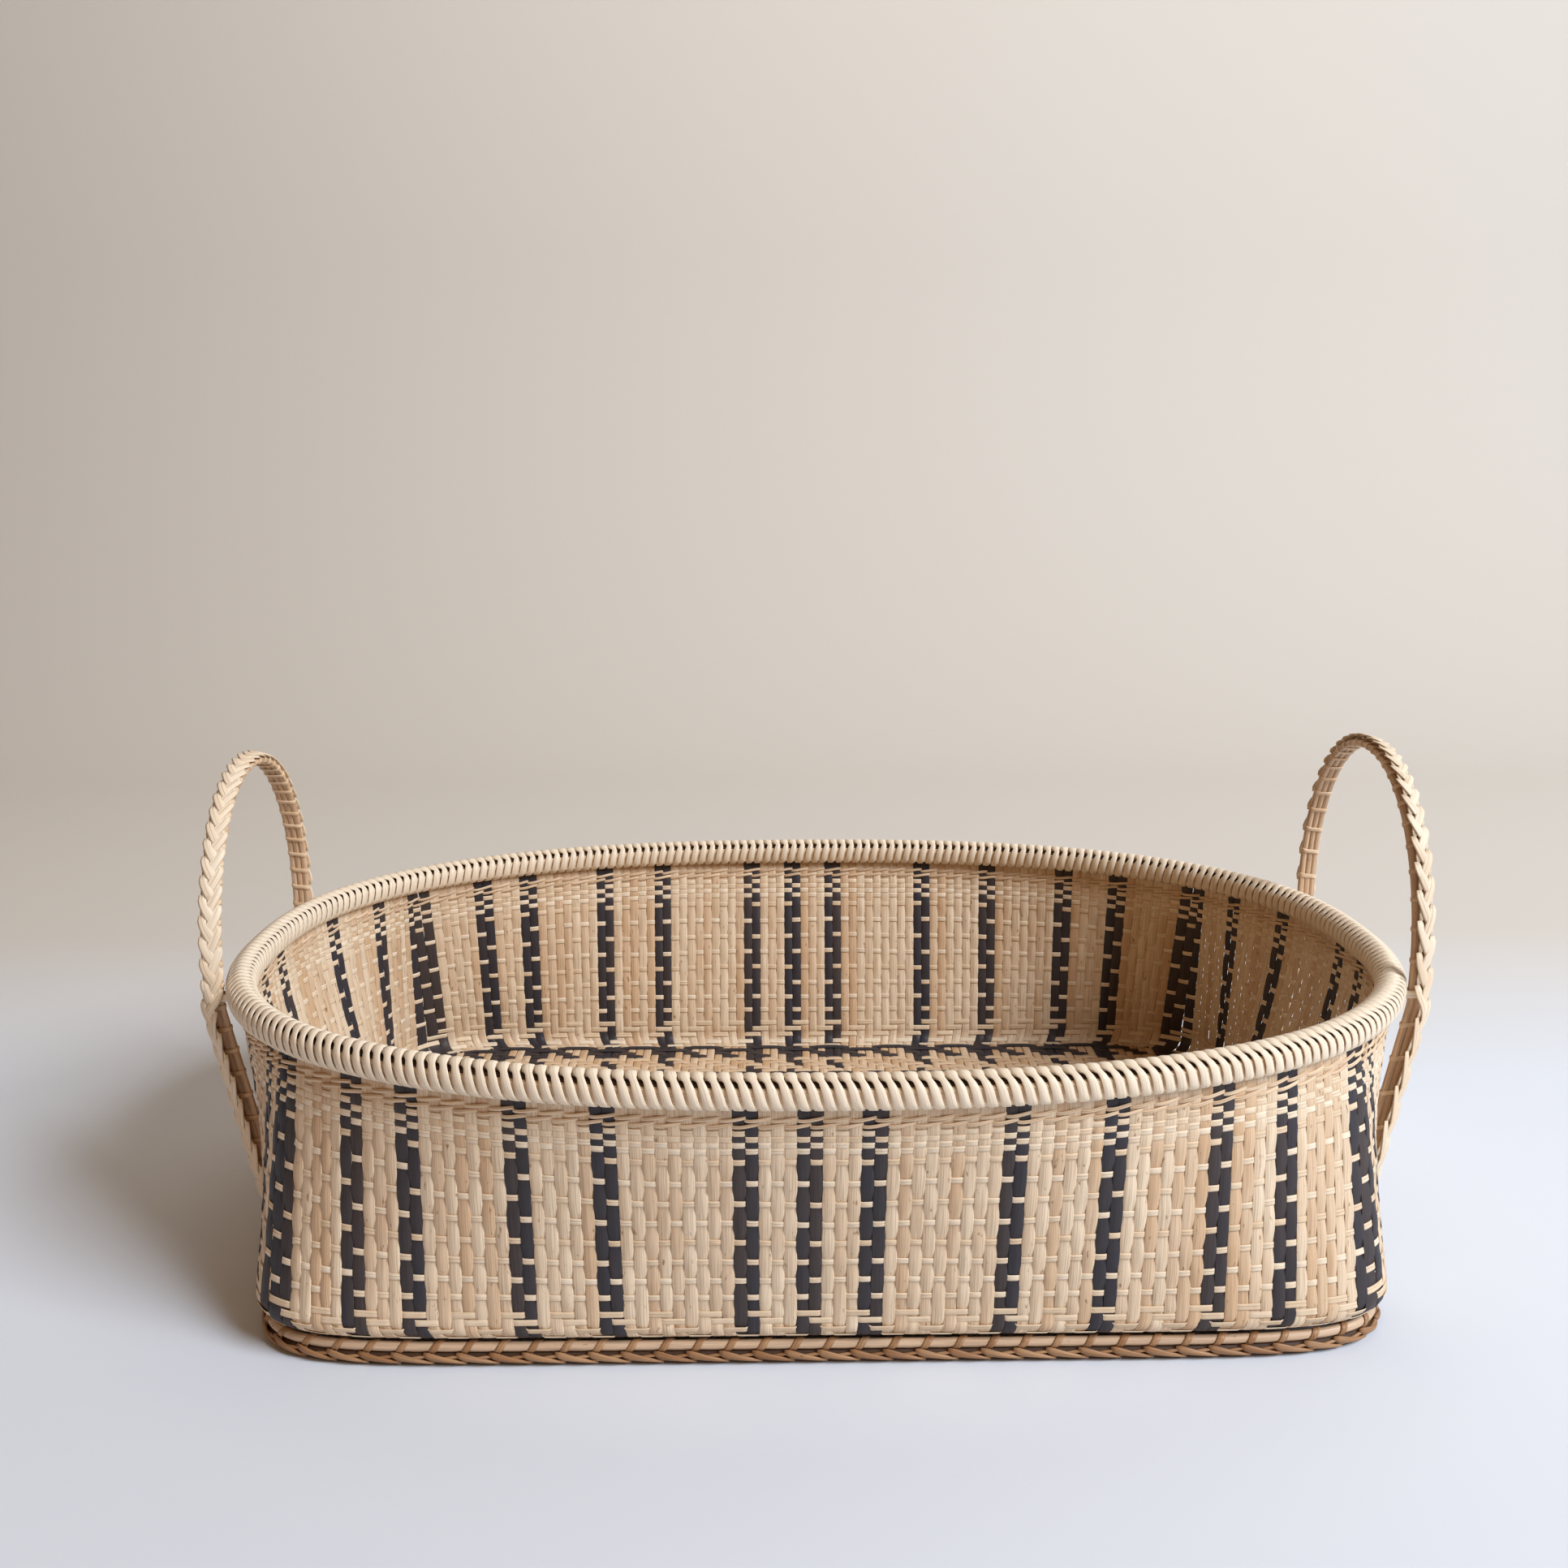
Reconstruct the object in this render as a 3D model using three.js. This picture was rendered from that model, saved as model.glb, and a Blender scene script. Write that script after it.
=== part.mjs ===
// An oval carrying basket tray: a rectangular woven floor whose strips turn up as the stakes of the
// wall, an oval lashed rim, a rod foot with a plaited edge, and a fixed arched handle at each end.
// Units are millimetres, +Z is up, +X runs along the basket and -Y is its front.
// The origin is on the surface that the basket stands on, below the middle of the rim.

import * as THREE from 'three';

// Driving dimensions: the rim, measured on its middle line
const rimHalfLength = 318;
const rimHalfWidth = 215;
const rimRoundness = 2.38;       // exponent of the rim's superellipse, 2 being an ellipse
const rimCornerInset = 53;       // from the rim's ends back to where the four corner stakes reach it
const wallTop = 154;             // height of the stake ends, hidden in the rim

// Driving dimensions: the wall and the floor
const baseHalfLength = 286;      // wall just above its lower bend
const baseHalfWidth = 191;
const baseSquareness = 9.3;      // exponent of the base's superellipse, close to a rectangle
const bendRadius = 10;           // the strips turn up from the floor round this radius
const weaveThickness = 2.8;
const endBulge = 0.9;            // how far the end walls belly out of a straight lean
const sideFlare = 0.25;          // how far the long walls hang back from a straight lean
const topBandHeight = 21;        // twined and close-woven band under the wall's top
const matGrooveWidth = 1.2;      // between two strips of the floor
const matGrooveDepth = 0.9;

// Driving counts: strips side by side, and the dyed ones among them
const frontStakes = 91;
const endStakes = 59;
const stakesPerDyedPair = 2;
const stakesPerCorner = 3;
const dyedPlacesAlongX = [-38.5, -33.5, -24.5, -17.5, -6.5, -1.5, 3.5, 14.5, 22.5, 31.5, 37.5];
const dyedPlacesAlongY = [-25.5, -17.5, -6.5, -1.5, 3.5, 14.5, 22.5];

// Driving dimensions: the rim's hoops, their lashing and the knotted ridge on top
const hoopThickness = 4.6;
const hoopHeight = 11;
const lashingThickness = 1.2;
const ridgeDiameter = 3;

// Driving dimensions: the foot
const footOffset = 5.7;          // how far the rod's middle lies outside the floor's edge
const footRodDiameter = 6;
const footPlaitHeight = 7.5;
const footPlaitWidth = 8;

// Driving dimensions: the handles, which are bent by hand and differ a little
const leftHandleSpan = 156;      // between the middles of the two legs
const leftHandleRise = 104.5;    // from the rim's ridge to the top of the arch
const rightHandleSpan = 169;
const rightHandleRise = 111.5;
const handleRoundness = 2.07;
const handleRodDiameter = 3.1;
const handleRods = 3;
const handlePlaitThickness = 2.4;
const handleLegEnd = 20;         // height of the leg ends, down the outside of the end walls

// Clearances between separate pieces
const clearance = 0.3;
const hoopClearance = 0.7;       // the hoops follow the wall's top with a little play

// Fineness of the curved pieces
const rimSteps = 80;
const footSteps = 48;
const rodSides = 6;
const footRodSides = 8;
const archSteps = 16;

// Places that follow from the sizes above: the wall's lower bend sits on the foot rod
const rimCornerX = rimHalfLength - rimCornerInset;
const footRodMiddle = footPlaitHeight + clearance + footRodDiameter / 2;
const bendToRod = bendRadius + weaveThickness / 2 + clearance + footRodDiameter / 2;
const bendTop = footRodMiddle + Math.sqrt(bendToRod ** 2 - footOffset ** 2);
const floorMiddle = bendTop - bendRadius;
const floorBottom = floorMiddle - weaveThickness / 2;
const hoopBottom = wallTop - hoopHeight;
const lashingInnerTop = wallTop + clearance;
const lashingTop = lashingInnerTop + lashingThickness;
const lashingInnerBottom = hoopBottom - clearance;
const lashingBottom = lashingInnerBottom - lashingThickness;
const gripBottom = lashingBottom - clearance;
const ridgeMiddle = lashingTop + clearance + ridgeDiameter / 2;
const ridgeTop = ridgeMiddle + ridgeDiameter / 2;

// Widths across the rim, measured out from its middle line
const hoopInside = weaveThickness / 2 + hoopClearance;
const hoopOutside = hoopInside + hoopThickness;
const lashingInside = hoopOutside + clearance;
const lashingOutside = lashingInside + lashingThickness;

const colours = {
  strip: 0xdcc49c,
  dyed: 0x3a3438,
  mat: 0xd2b488,
  hoop: 0xc09a66,
  lashing: 0xe8d9b4,
  ridge: 0xe2cfa4,
  footRod: 0xd4b48c,
  footPlait: 0xb98a58,
  handleRod: 0xc9a673,
  handlePlait: 0xe6d6b2,
};

const basket = new THREE.Group();

/** Adds one named piece with its own finish. */
function addPiece(name, geometry, colour, roughness) {
  geometry.computeVertexNormals();
  const material = new THREE.MeshStandardMaterial({ color: colour, roughness, metalness: 0 });
  const piece = new THREE.Mesh(geometry, material);
  piece.name = name;
  basket.add(piece);
}

/** Makes an indexed geometry from a list of points and a list of triangle corners. */
function meshFrom(points, triangles) {
  const geometry = new THREE.BufferGeometry();
  geometry.setFromPoints(points);
  geometry.setIndex(triangles);
  return geometry;
}

/** The other half-axis coordinate on the superellipse |x/a|^n + |y/b|^n = 1. */
function acrossAt(along, halfAlong, halfAcross, exponent) {
  const share = Math.min(1, Math.abs(along / halfAlong)) ** exponent;
  return halfAcross * (1 - share) ** (1 / exponent);
}

/** Where a superellipse's corner lies, as a share of each half-axis. */
function cornerShare(exponent) {
  return 2 ** (-1 / exponent);
}

/**
 * A point of the wall's middle surface.
 * turn runs 0 to 4 round the basket: front, right end, back, left end, corner to corner.
 * level runs 0 to 1 through the lower bend, 1 to 2 up the leaning wall, and 2 to 3 in the rim's grip.
 * Above the bend each point lies between the base outline and the rim outline.
 */
function wallPoint(turn, level) {
  const wrapped = ((turn % 4) + 4) % 4;
  const side = Math.floor(wrapped);
  const place = 2 * (wrapped - side) - 1;
  const isLongSide = side % 2 === 0;
  const bend = Math.min(level, 1) * Math.PI / 2;
  const rise = Math.min(Math.max(level - 1, 0), 1);
  const grip = Math.max(level - 2, 0);
  const inset = bendRadius * (1 - Math.sin(bend));

  const baseX = baseHalfLength - inset;
  const baseY = baseHalfWidth - inset;
  const rimCornerY = acrossAt(rimCornerX, rimHalfLength, rimHalfWidth, rimRoundness);
  const baseAlong = isLongSide ? baseX : baseY;
  const baseAcross = isLongSide ? baseY : baseX;
  const rimAlong = isLongSide ? rimHalfLength : rimHalfWidth;
  const rimAcross = isLongSide ? rimHalfWidth : rimHalfLength;
  const baseCorner = baseAlong * cornerShare(baseSquareness);
  const rimCorner = isLongSide ? rimCornerX : rimCornerY;

  const squared = place * place;
  const alongBase = place * baseCorner;
  const alongRim = place * (baseCorner * (1 - squared) + rimCorner * squared);
  const acrossBase = acrossAt(alongBase, baseAlong, baseAcross, baseSquareness);
  const acrossRim = acrossAt(alongRim, rimAlong, rimAcross, rimRoundness);

  const belly = (isLongSide ? -sideFlare : endBulge) * (1 - squared);
  const lean = rise * (1 + belly * (1 - rise));
  const along = alongBase + (alongRim - alongBase) * lean;
  const across = acrossBase + (acrossRim - acrossBase) * lean;
  const height = level < 1
    ? floorMiddle + bendRadius * (1 - Math.cos(bend))
    : bendTop + (gripBottom - bendTop) * rise + (wallTop - gripBottom) * grip;

  if (side === 0) return new THREE.Vector3(along, -across, height);
  if (side === 1) return new THREE.Vector3(across, along, height);
  if (side === 2) return new THREE.Vector3(-along, across, height);
  return new THREE.Vector3(-across, -along, height);
}

const smallTurn = 0.004;
const smallLevel = 0.004;

/** The wall's outward direction, from small steps round it and up it. */
function wallOutward(turn, level) {
  const low = Math.max(level - smallLevel, 0);
  const high = Math.min(level + smallLevel, 3);
  const round = wallPoint(turn + smallTurn, level).sub(wallPoint(turn - smallTurn, level));
  const up = wallPoint(turn, high).sub(wallPoint(turn, low));
  return round.cross(up).normalize();
}

/** The wall level at a given height between the bend and the rim. */
function levelAt(height) {
  return 1 + (height - bendTop) / (gripBottom - bendTop);
}

/**
 * A slab of woven wall over a grid of turns and levels, with the cells that isOpen names left out.
 * Each grid point gives one vertex outside and one inside the middle surface. Facing edges of two
 * slabs are split along the same diagonal, so that they stay parallel.
 */
function wallSlab(turns, levels, isOpen) {
  const points = [];
  const triangles = [];
  const vertexOf = new Map();
  const filled = (column, row) => column >= 0 && row >= 0
    && column < turns.length - 1 && row < levels.length - 1 && !isOpen(column, row);

  const vertex = (column, row, outside) => {
    const key = `${column} ${row} ${outside}`;
    if (!vertexOf.has(key)) {
      const offset = outside ? weaveThickness / 2 : -weaveThickness / 2;
      const outward = wallOutward(turns[column], levels[row]);
      vertexOf.set(key, points.length);
      points.push(wallPoint(turns[column], levels[row]).addScaledVector(outward, offset));
    }
    return vertexOf.get(key);
  };
  const quad = (a, b, c, d) => triangles.push(a, b, c, a, c, d);

  for (let column = 0; column < turns.length - 1; column += 1) {
    for (let row = 0; row < levels.length - 1; row += 1) {
      if (!filled(column, row)) continue;
      const corners = [[column, row], [column + 1, row], [column + 1, row + 1], [column, row + 1]];
      const outer = corners.map(([c, r]) => vertex(c, r, true));
      const inner = corners.map(([c, r]) => vertex(c, r, false));
      quad(outer[0], outer[1], outer[2], outer[3]);
      quad(inner[3], inner[2], inner[1], inner[0]);
      const beyond = [[column, row - 1], [column + 1, row], [column, row + 1], [column - 1, row]];
      beyond.forEach(([c, r], edge) => {
        if (filled(c, r)) return;
        const next = (edge + 1) % 4;
        if (edge < 2) quad(outer[next], outer[edge], inner[edge], inner[next]);
        else quad(outer[edge], inner[edge], inner[next], outer[next]);
      });
    }
  }
  return meshFrom(points, triangles);
}

// Levels shared by every strip of the wall: the bend, with its seat on the foot rod, and the belly
const seatLevel = Math.asin(footOffset / bendToRod) / (Math.PI / 2);
const bendLevels = [0, seatLevel, (seatLevel + 1) / 2, 1];
const bellyShares = [0.25, 0.58];
const topBandBottom = wallTop - topBandHeight;
const stakeTop = topBandBottom - clearance;
const plainLevels = [...bendLevels, ...bellyShares.map((share) => 1 + share)];

// Turns: the four sides, the places of their dyed pairs and the corner stakes between them
const sideNames = ['front', 'right', 'back', 'left'];
const sideStakes = [frontStakes, endStakes, frontStakes, endStakes];
const sidePlaces = [
  dyedPlacesAlongX,
  dyedPlacesAlongY,
  dyedPlacesAlongX.map((place) => -place).reverse(),
  dyedPlacesAlongY.map((place) => -place).reverse(),
];

/** The turn at a place counted in stakes from the middle of a side. */
function turnAt(side, stakes) {
  return side + 0.5 + stakes / sideStakes[side];
}

/** How much turn a clearance takes up on a side. */
function clearanceTurn(side) {
  const halfLength = side % 2 === 0 ? baseHalfLength : baseHalfWidth;
  return clearance / (2 * halfLength * cornerShare(baseSquareness));
}

const edgeTurns = [];
sideNames.forEach((sideName, side) => {
  const gap = clearanceTurn(side);
  const halfPair = stakesPerDyedPair / 2;
  const sideEnd = (sideStakes[side] - stakesPerCorner) / 2;

  // The natural strips of one side, held together by the close-woven band along their top
  const turns = [turnAt(side, -sideEnd) + gap];
  const slots = new Set();
  sidePlaces[side].forEach((place) => {
    const slotStart = turnAt(side, place - halfPair) - gap / 2;
    turns.push((turns[turns.length - 1] + slotStart) / 2, slotStart);
    slots.add(turns.length - 1);
    turns.push(turnAt(side, place + halfPair) + gap / 2);
  });
  const sideStop = turnAt(side, sideEnd) - gap;
  turns.push((turns[turns.length - 1] + sideStop) / 2, sideStop);
  const panelLevels = [...plainLevels, levelAt(topBandBottom), 2, 3];
  const bandRow = plainLevels.length;
  const panel = wallSlab(turns, panelLevels, (column, row) => slots.has(column) && row < bandRow);
  addPiece(`wall_${sideName}`, panel, colours.strip, 0.6);
  edgeTurns.push(...turns);

  // The dyed strips, two side by side, each pair standing in its slot
  const pairLevels = [...plainLevels, levelAt(stakeTop)];
  sidePlaces[side].forEach((place, index) => {
    const pairTurns = [
      turnAt(side, place - halfPair) + gap / 2,
      turnAt(side, place),
      turnAt(side, place + halfPair) - gap / 2,
    ];
    const pair = wallSlab(pairTurns, pairLevels, () => false);
    const number = String(index + 1).padStart(2, '0');
    addPiece(`dyed_${sideName}_${number}`, pair, colours.dyed, 0.55);
  });
});

// The dyed strips that stand three together at each corner, from the floor into the rim
['front_right', 'back_right', 'back_left', 'front_left'].forEach((cornerName, corner) => {
  const halfCorner = stakesPerCorner / 2;
  const before = corner;
  const after = (corner + 1) % 4;
  const halfStake = 0.5;
  const turns = [
    corner + 1 - halfCorner / sideStakes[before],
    corner + 1 - halfStake / sideStakes[before],
    corner + 1 + halfStake / sideStakes[after],
    corner + 1 + halfCorner / sideStakes[after],
  ];
  edgeTurns.push(...turns.slice(1, -1).map((turn) => turn % 4));
  const levels = [...plainLevels, levelAt(topBandBottom), 2, 3];
  addPiece(`dyed_corner_${cornerName}`, wallSlab(turns, levels, () => false), colours.dyed, 0.55);
});

// The floor: strips crossing both ways, as one mat whose edge follows the wall's lower bend.
// Those that run lengthways stand proud on both faces, with a groove between each two.
const matEdge = edgeTurns.sort((a, b) => a - b).map((turn) => {
  const edge = wallPoint(turn, 0);
  const round = wallPoint(turn + smallTurn, 0).sub(wallPoint(turn - smallTurn, 0)).normalize();
  return { turn, x: edge.x - round.y * clearance, y: edge.y + round.x * clearance };
});
const matSide = (side) => matEdge.filter(({ turn }) => Math.floor(turn) === side);
const rightEdge = matSide(1);
const floorTop = floorBottom + weaveThickness;
const matStripPitch = 2 * (baseHalfWidth - bendRadius) * cornerShare(baseSquareness) / endStakes;

/** How deep the mat's face lies at a distance from its middle: grooves with sloping sides. */
function grooveAt(y) {
  const fromStrip = Math.abs(y / matStripPitch - Math.round(y / matStripPitch)) * matStripPitch;
  const fromGroove = matStripPitch / 2 - fromStrip;
  const share = (matGrooveWidth / 2 - fromGroove) / (matGrooveWidth / 4);
  return matGrooveDepth * Math.min(1, Math.max(0, share));
}

/** Half length of the mat at a distance from its middle, along the straight pieces of its end edge. */
function matHalfLength(y) {
  const after = Math.max(1, rightEdge.findIndex((corner) => corner.y >= y));
  const from = rightEdge[after - 1];
  const to = rightEdge[after];
  return from.x + (to.x - from.x) * (y - from.y) / (to.y - from.y);
}

const firstY = rightEdge[0].y;
const lastY = rightEdge[rightEdge.length - 1].y;
const grooveEdges = [];
for (let groove = -(endStakes - 1) / 2; groove < (endStakes - 1) / 2; groove += 1) {
  const middle = (groove + 0.5) * matStripPitch;
  [-0.5, -0.25, 0.25, 0.5].forEach((share) => grooveEdges.push(middle + share * matGrooveWidth));
}
const isFree = (y) => y > firstY && y < lastY
  && rightEdge.every((corner) => Math.abs(corner.y - y) > clearance / 2);
const matRows = [...rightEdge.map(({ y }) => y), ...grooveEdges.filter(isFree)].sort((a, b) => a - b);

// Each row across the mat has four points: left and right on top, then right and left below
const matPoints = [];
const matTriangles = [];
matRows.forEach((y, row) => {
  const x = matHalfLength(y);
  const depth = grooveAt(y);
  [[-x, floorTop - depth], [x, floorTop - depth], [x, floorBottom + depth], [-x, floorBottom + depth]]
    .forEach(([pointX, z]) => matPoints.push(new THREE.Vector3(pointX, y, z)));
  if (row === 0) return;
  for (let side = 0; side < 4; side += 1) {
    const a = 4 * (row - 1) + side;
    const b = 4 * (row - 1) + (side + 1) % 4;
    matTriangles.push(a, b, b + 4, a, b + 4, a + 4);
  }
});

/** The flat border along a long side, from one end of a row of the mat to its other end. */
function addMatBorder(side, start, end) {
  const tops = [start.top];
  const lows = [start.low];
  matSide(side).forEach(({ x, y }) => {
    tops.push(matPoints.push(new THREE.Vector3(x, y, floorTop)) - 1);
    lows.push(matPoints.push(new THREE.Vector3(x, y, floorBottom)) - 1);
  });
  tops.push(end.top);
  lows.push(end.low);
  for (let index = 1; index < tops.length; index += 1) {
    const before = index - 1;
    if (before > 0) {
      matTriangles.push(tops[0], tops[before], tops[index], lows[0], lows[index], lows[before]);
    }
    matTriangles.push(lows[before], lows[index], tops[index], lows[before], tops[index], tops[before]);
  }
}

const lastRow = 4 * (matRows.length - 1);
addMatBorder(0, { top: 0, low: 3 }, { top: 1, low: 2 });
addMatBorder(2, { top: lastRow + 1, low: lastRow + 2 }, { top: lastRow, low: lastRow + 3 });
const mat = meshFrom(matPoints, matTriangles);
addPiece('base_mat', mat, colours.mat, 0.7);

/**
 * A closed path round a superellipse, each point with its outward direction.
 * Even steps of the curve's own angle crowd together at its corners, where they are needed.
 */
function outlinePath(halfLength, halfWidth, exponent, steps) {
  const path = [];
  for (let step = 0; step < steps; step += 1) {
    const angle = 2 * Math.PI * (step + 0.5) / steps;
    const cos = Math.cos(angle);
    const sin = Math.sin(angle);
    const point = new THREE.Vector2(
      halfLength * Math.sign(cos) * Math.abs(cos) ** (2 / exponent),
      halfWidth * Math.sign(sin) * Math.abs(sin) ** (2 / exponent),
    );
    const outward = new THREE.Vector2(
      Math.sign(point.x) * Math.abs(point.x) ** (exponent - 1) / halfLength ** exponent,
      Math.sign(point.y) * Math.abs(point.y) ** (exponent - 1) / halfWidth ** exponent,
    ).normalize();
    path.push({ point, outward });
  }
  return path;
}

/**
 * A ring made by carrying a closed section round a path.
 * The section's points are [distance outwards, height], anticlockwise seen with outwards to the right.
 */
function ringFrom(path, section) {
  const points = [];
  const triangles = [];
  path.forEach(({ point, outward }) => section.forEach(([out, height]) => {
    points.push(new THREE.Vector3(point.x + outward.x * out, point.y + outward.y * out, height));
  }));
  for (let step = 0; step < path.length; step += 1) {
    for (let side = 0; side < section.length; side += 1) {
      const nextStep = (step + 1) % path.length;
      const nextSide = (side + 1) % section.length;
      const a = step * section.length + side;
      const b = nextStep * section.length + side;
      const c = nextStep * section.length + nextSide;
      const d = step * section.length + nextSide;
      triangles.push(a, b, c, a, c, d);
    }
  }
  return meshFrom(points, triangles);
}

/** A round section as a polygon, with its first corner at an angle above the outward side. */
function roundSection(out, height, diameter, sides, firstCorner) {
  const section = [];
  for (let side = 0; side < sides; side += 1) {
    const angle = firstCorner + 2 * Math.PI * side / sides;
    section.push([out + Math.cos(angle) * diameter / 2, height + Math.sin(angle) * diameter / 2]);
  }
  return section;
}

// The rim: a flat cane hoop on each side of the stake ends, lashed over with cane
const rimPath = outlinePath(rimHalfLength, rimHalfWidth, rimRoundness, rimSteps);
const hoopSection = [
  [hoopInside, hoopBottom],
  [hoopOutside, hoopBottom],
  [hoopOutside, wallTop],
  [hoopInside, wallTop],
];
const innerHoopSection = hoopSection.map(([out, height]) => [-out, height]).reverse();
addPiece('rim_hoop_outer', ringFrom(rimPath, hoopSection), colours.hoop, 0.55);
addPiece('rim_hoop_inner', ringFrom(rimPath, innerHoopSection), colours.hoop, 0.55);

const lashingChamfer = lashingThickness;
const lashingHalf = [
  [hoopInside, lashingBottom],
  [lashingOutside - lashingChamfer, lashingBottom],
  [lashingOutside, lashingBottom + lashingChamfer],
  [lashingOutside, lashingTop - lashingChamfer],
  [lashingOutside - lashingChamfer, lashingTop],
];
const lashingHollow = [
  [-hoopInside, lashingInnerBottom],
  [-lashingInside, lashingInnerBottom],
  [-lashingInside, lashingInnerTop],
  [lashingInside, lashingInnerTop],
  [lashingInside, lashingInnerBottom],
  [hoopInside, lashingInnerBottom],
];
const lashingMirrored = lashingHalf.map(([out, height]) => [-out, height]).reverse();
const lashingSection = [...lashingHalf, ...lashingMirrored, ...lashingHollow];
addPiece('rim_lashing', ringFrom(rimPath, lashingSection), colours.lashing, 0.5);

const ridgeSection = roundSection(0, ridgeMiddle, ridgeDiameter, rodSides, Math.PI / 2);
addPiece('rim_ridge', ringFrom(rimPath, ridgeSection), colours.ridge, 0.5);

// The foot: a round rod bent round under the wall, on a plaited edge with a flat underside
const footHalfLength = baseHalfLength - bendRadius + footOffset;
const footHalfWidth = baseHalfWidth - bendRadius + footOffset;
const footPath = outlinePath(footHalfLength, footHalfWidth, baseSquareness, footSteps);
const footRodTurn = Math.PI / footRodSides;
const footRodSection = roundSection(0, footRodMiddle, footRodDiameter, footRodSides, footRodTurn);
addPiece('foot_rod', ringFrom(footPath, footRodSection), colours.footRod, 0.5);

const plaitChamfer = footPlaitHeight / 5;
const footPlaitSection = [
  [-footPlaitWidth / 2, 0],
  [footPlaitWidth / 2 - plaitChamfer, 0],
  [footPlaitWidth / 2, plaitChamfer],
  [footPlaitWidth / 2, footPlaitHeight - plaitChamfer],
  [footPlaitWidth / 2 - plaitChamfer, footPlaitHeight],
  [-footPlaitWidth / 2, footPlaitHeight],
];
addPiece('foot_plait', ringFrom(footPath, footPlaitSection), colours.footPlait, 0.6);

// The handles: three rods abreast, bent into an arch across each end, with a plait along their back
const rodRadius = handleRodDiameter / 2;
const rodPitch = handleRodDiameter + clearance;
const bundleHalfWidth = rodRadius + rodPitch * (handleRods - 1) / 2;
const archBottom = ridgeTop;
const plaitOffset = rodRadius + clearance + handlePlaitThickness / 2;
const handles = [
  { name: 'left', end: -1, span: leftHandleSpan, rise: leftHandleRise },
  { name: 'right', end: 1, span: rightHandleSpan, rise: rightHandleRise },
];

const legShares = [0, 0.1, 0.2, 0.3, 0.4, 0.5, 0.6, 0.7, 0.8, 0.9];

/**
 * Distance from the middle plane to the middle of a handle's leg, at a height.
 * A leg is straight from its end to the rim. It stands off the lashing at the rim, and its end
 * stands out just far enough for the whole leg to clear the bellied wall.
 */
function legX(handle, height) {
  const legInnerY = handle.span / 2 - rodRadius;
  const rimX = acrossAt(legInnerY, rimHalfWidth, rimHalfLength, rimRoundness);
  const slope = (legInnerY / rimHalfWidth) ** (rimRoundness - 1) / rimHalfWidth
    / ((rimX / rimHalfLength) ** (rimRoundness - 1) / rimHalfLength);
  const atRim = rimX + lashingOutside * Math.hypot(1, slope) + clearance + bundleHalfWidth;
  const legTurn = 1.5 + legInnerY / (2 * baseHalfWidth * cornerShare(baseSquareness));
  const legHeight = lashingBottom - handleLegEnd;
  const ends = legShares.map((share) => {
    const level = Math.max(1, levelAt(handleLegEnd + share * legHeight));
    const clearX = wallPoint(legTurn, level).x + weaveThickness / 2 + clearance + bundleHalfWidth;
    return (clearX - atRim * share) / (1 - share);
  });
  const atEnd = Math.max(...ends);
  return atEnd + (atRim - atEnd) * Math.min(1, (height - handleLegEnd) / legHeight);
}

/** The line that a rod or the plait follows, from one leg end over the arch to the other. */
function handleLine(handle, sideways, outwards) {
  const line = [];
  const legY = handle.span / 2 + outwards;
  const archRise = handle.rise - plaitOffset - handlePlaitThickness / 2 + outwards;
  const place = (y, z) => {
    line.push(new THREE.Vector3(handle.end * (legX(handle, z) + sideways), y, z));
  };
  const legHeights = [handleLegEnd, lashingBottom];
  legHeights.forEach((height) => place(-legY, height));
  for (let step = 0; step <= archSteps; step += 1) {
    const angle = Math.PI * step / archSteps;
    const cos = Math.cos(angle);
    const across = Math.sign(cos) * Math.abs(cos) ** (2 / handleRoundness);
    const up = Math.sin(angle) ** (2 / handleRoundness);
    place(-legY * across, archBottom + archRise * up);
  }
  legHeights.reverse().forEach((height) => place(legY, height));
  return line;
}

/**
 * A bar of constant section carried along a line in an upright plane.
 * The section's points are [along the basket, away from the arch's middle], as a closed polygon.
 */
function barAlong(line, section) {
  const points = [];
  const triangles = [];
  line.forEach((point, index) => {
    const before = line[Math.max(index - 1, 0)];
    const after = line[Math.min(index + 1, line.length - 1)];
    const tangent = new THREE.Vector3(0, after.y - before.y, after.z - before.z).normalize();
    const away = new THREE.Vector3(0, -tangent.z, tangent.y);
    section.forEach(([sideways, outwards]) => {
      const corner = point.clone().addScaledVector(away, outwards);
      corner.x += sideways;
      points.push(corner);
    });
  });
  const count = section.length;
  for (let step = 0; step < line.length - 1; step += 1) {
    for (let side = 0; side < count; side += 1) {
      const next = (side + 1) % count;
      const a = step * count + side;
      const b = step * count + next;
      triangles.push(a, b + count, b, a, a + count, b + count);
    }
  }
  const last = (line.length - 1) * count;
  for (let side = 1; side < count - 1; side += 1) {
    triangles.push(0, side, side + 1);
    triangles.push(last, last + side + 1, last + side);
  }
  return meshFrom(points, triangles);
}

const rodSection = roundSection(0, 0, handleRodDiameter, rodSides, 0);
const handlePlaitSection = [
  [-bundleHalfWidth, -handlePlaitThickness / 2],
  [bundleHalfWidth, -handlePlaitThickness / 2],
  [bundleHalfWidth, handlePlaitThickness / 2],
  [-bundleHalfWidth, handlePlaitThickness / 2],
];
handles.forEach((handle) => {
  for (let rod = 0; rod < handleRods; rod += 1) {
    const sideways = (rod - (handleRods - 1) / 2) * rodPitch;
    const geometry = barAlong(handleLine(handle, sideways, 0), rodSection);
    addPiece(`handle_${handle.name}_rod_${rod + 1}`, geometry, colours.handleRod, 0.5);
  }
  const plait = barAlong(handleLine(handle, 0, plaitOffset), handlePlaitSection);
  addPiece(`handle_${handle.name}_plait`, plait, colours.handlePlait, 0.5);
});

export default basket;
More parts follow.
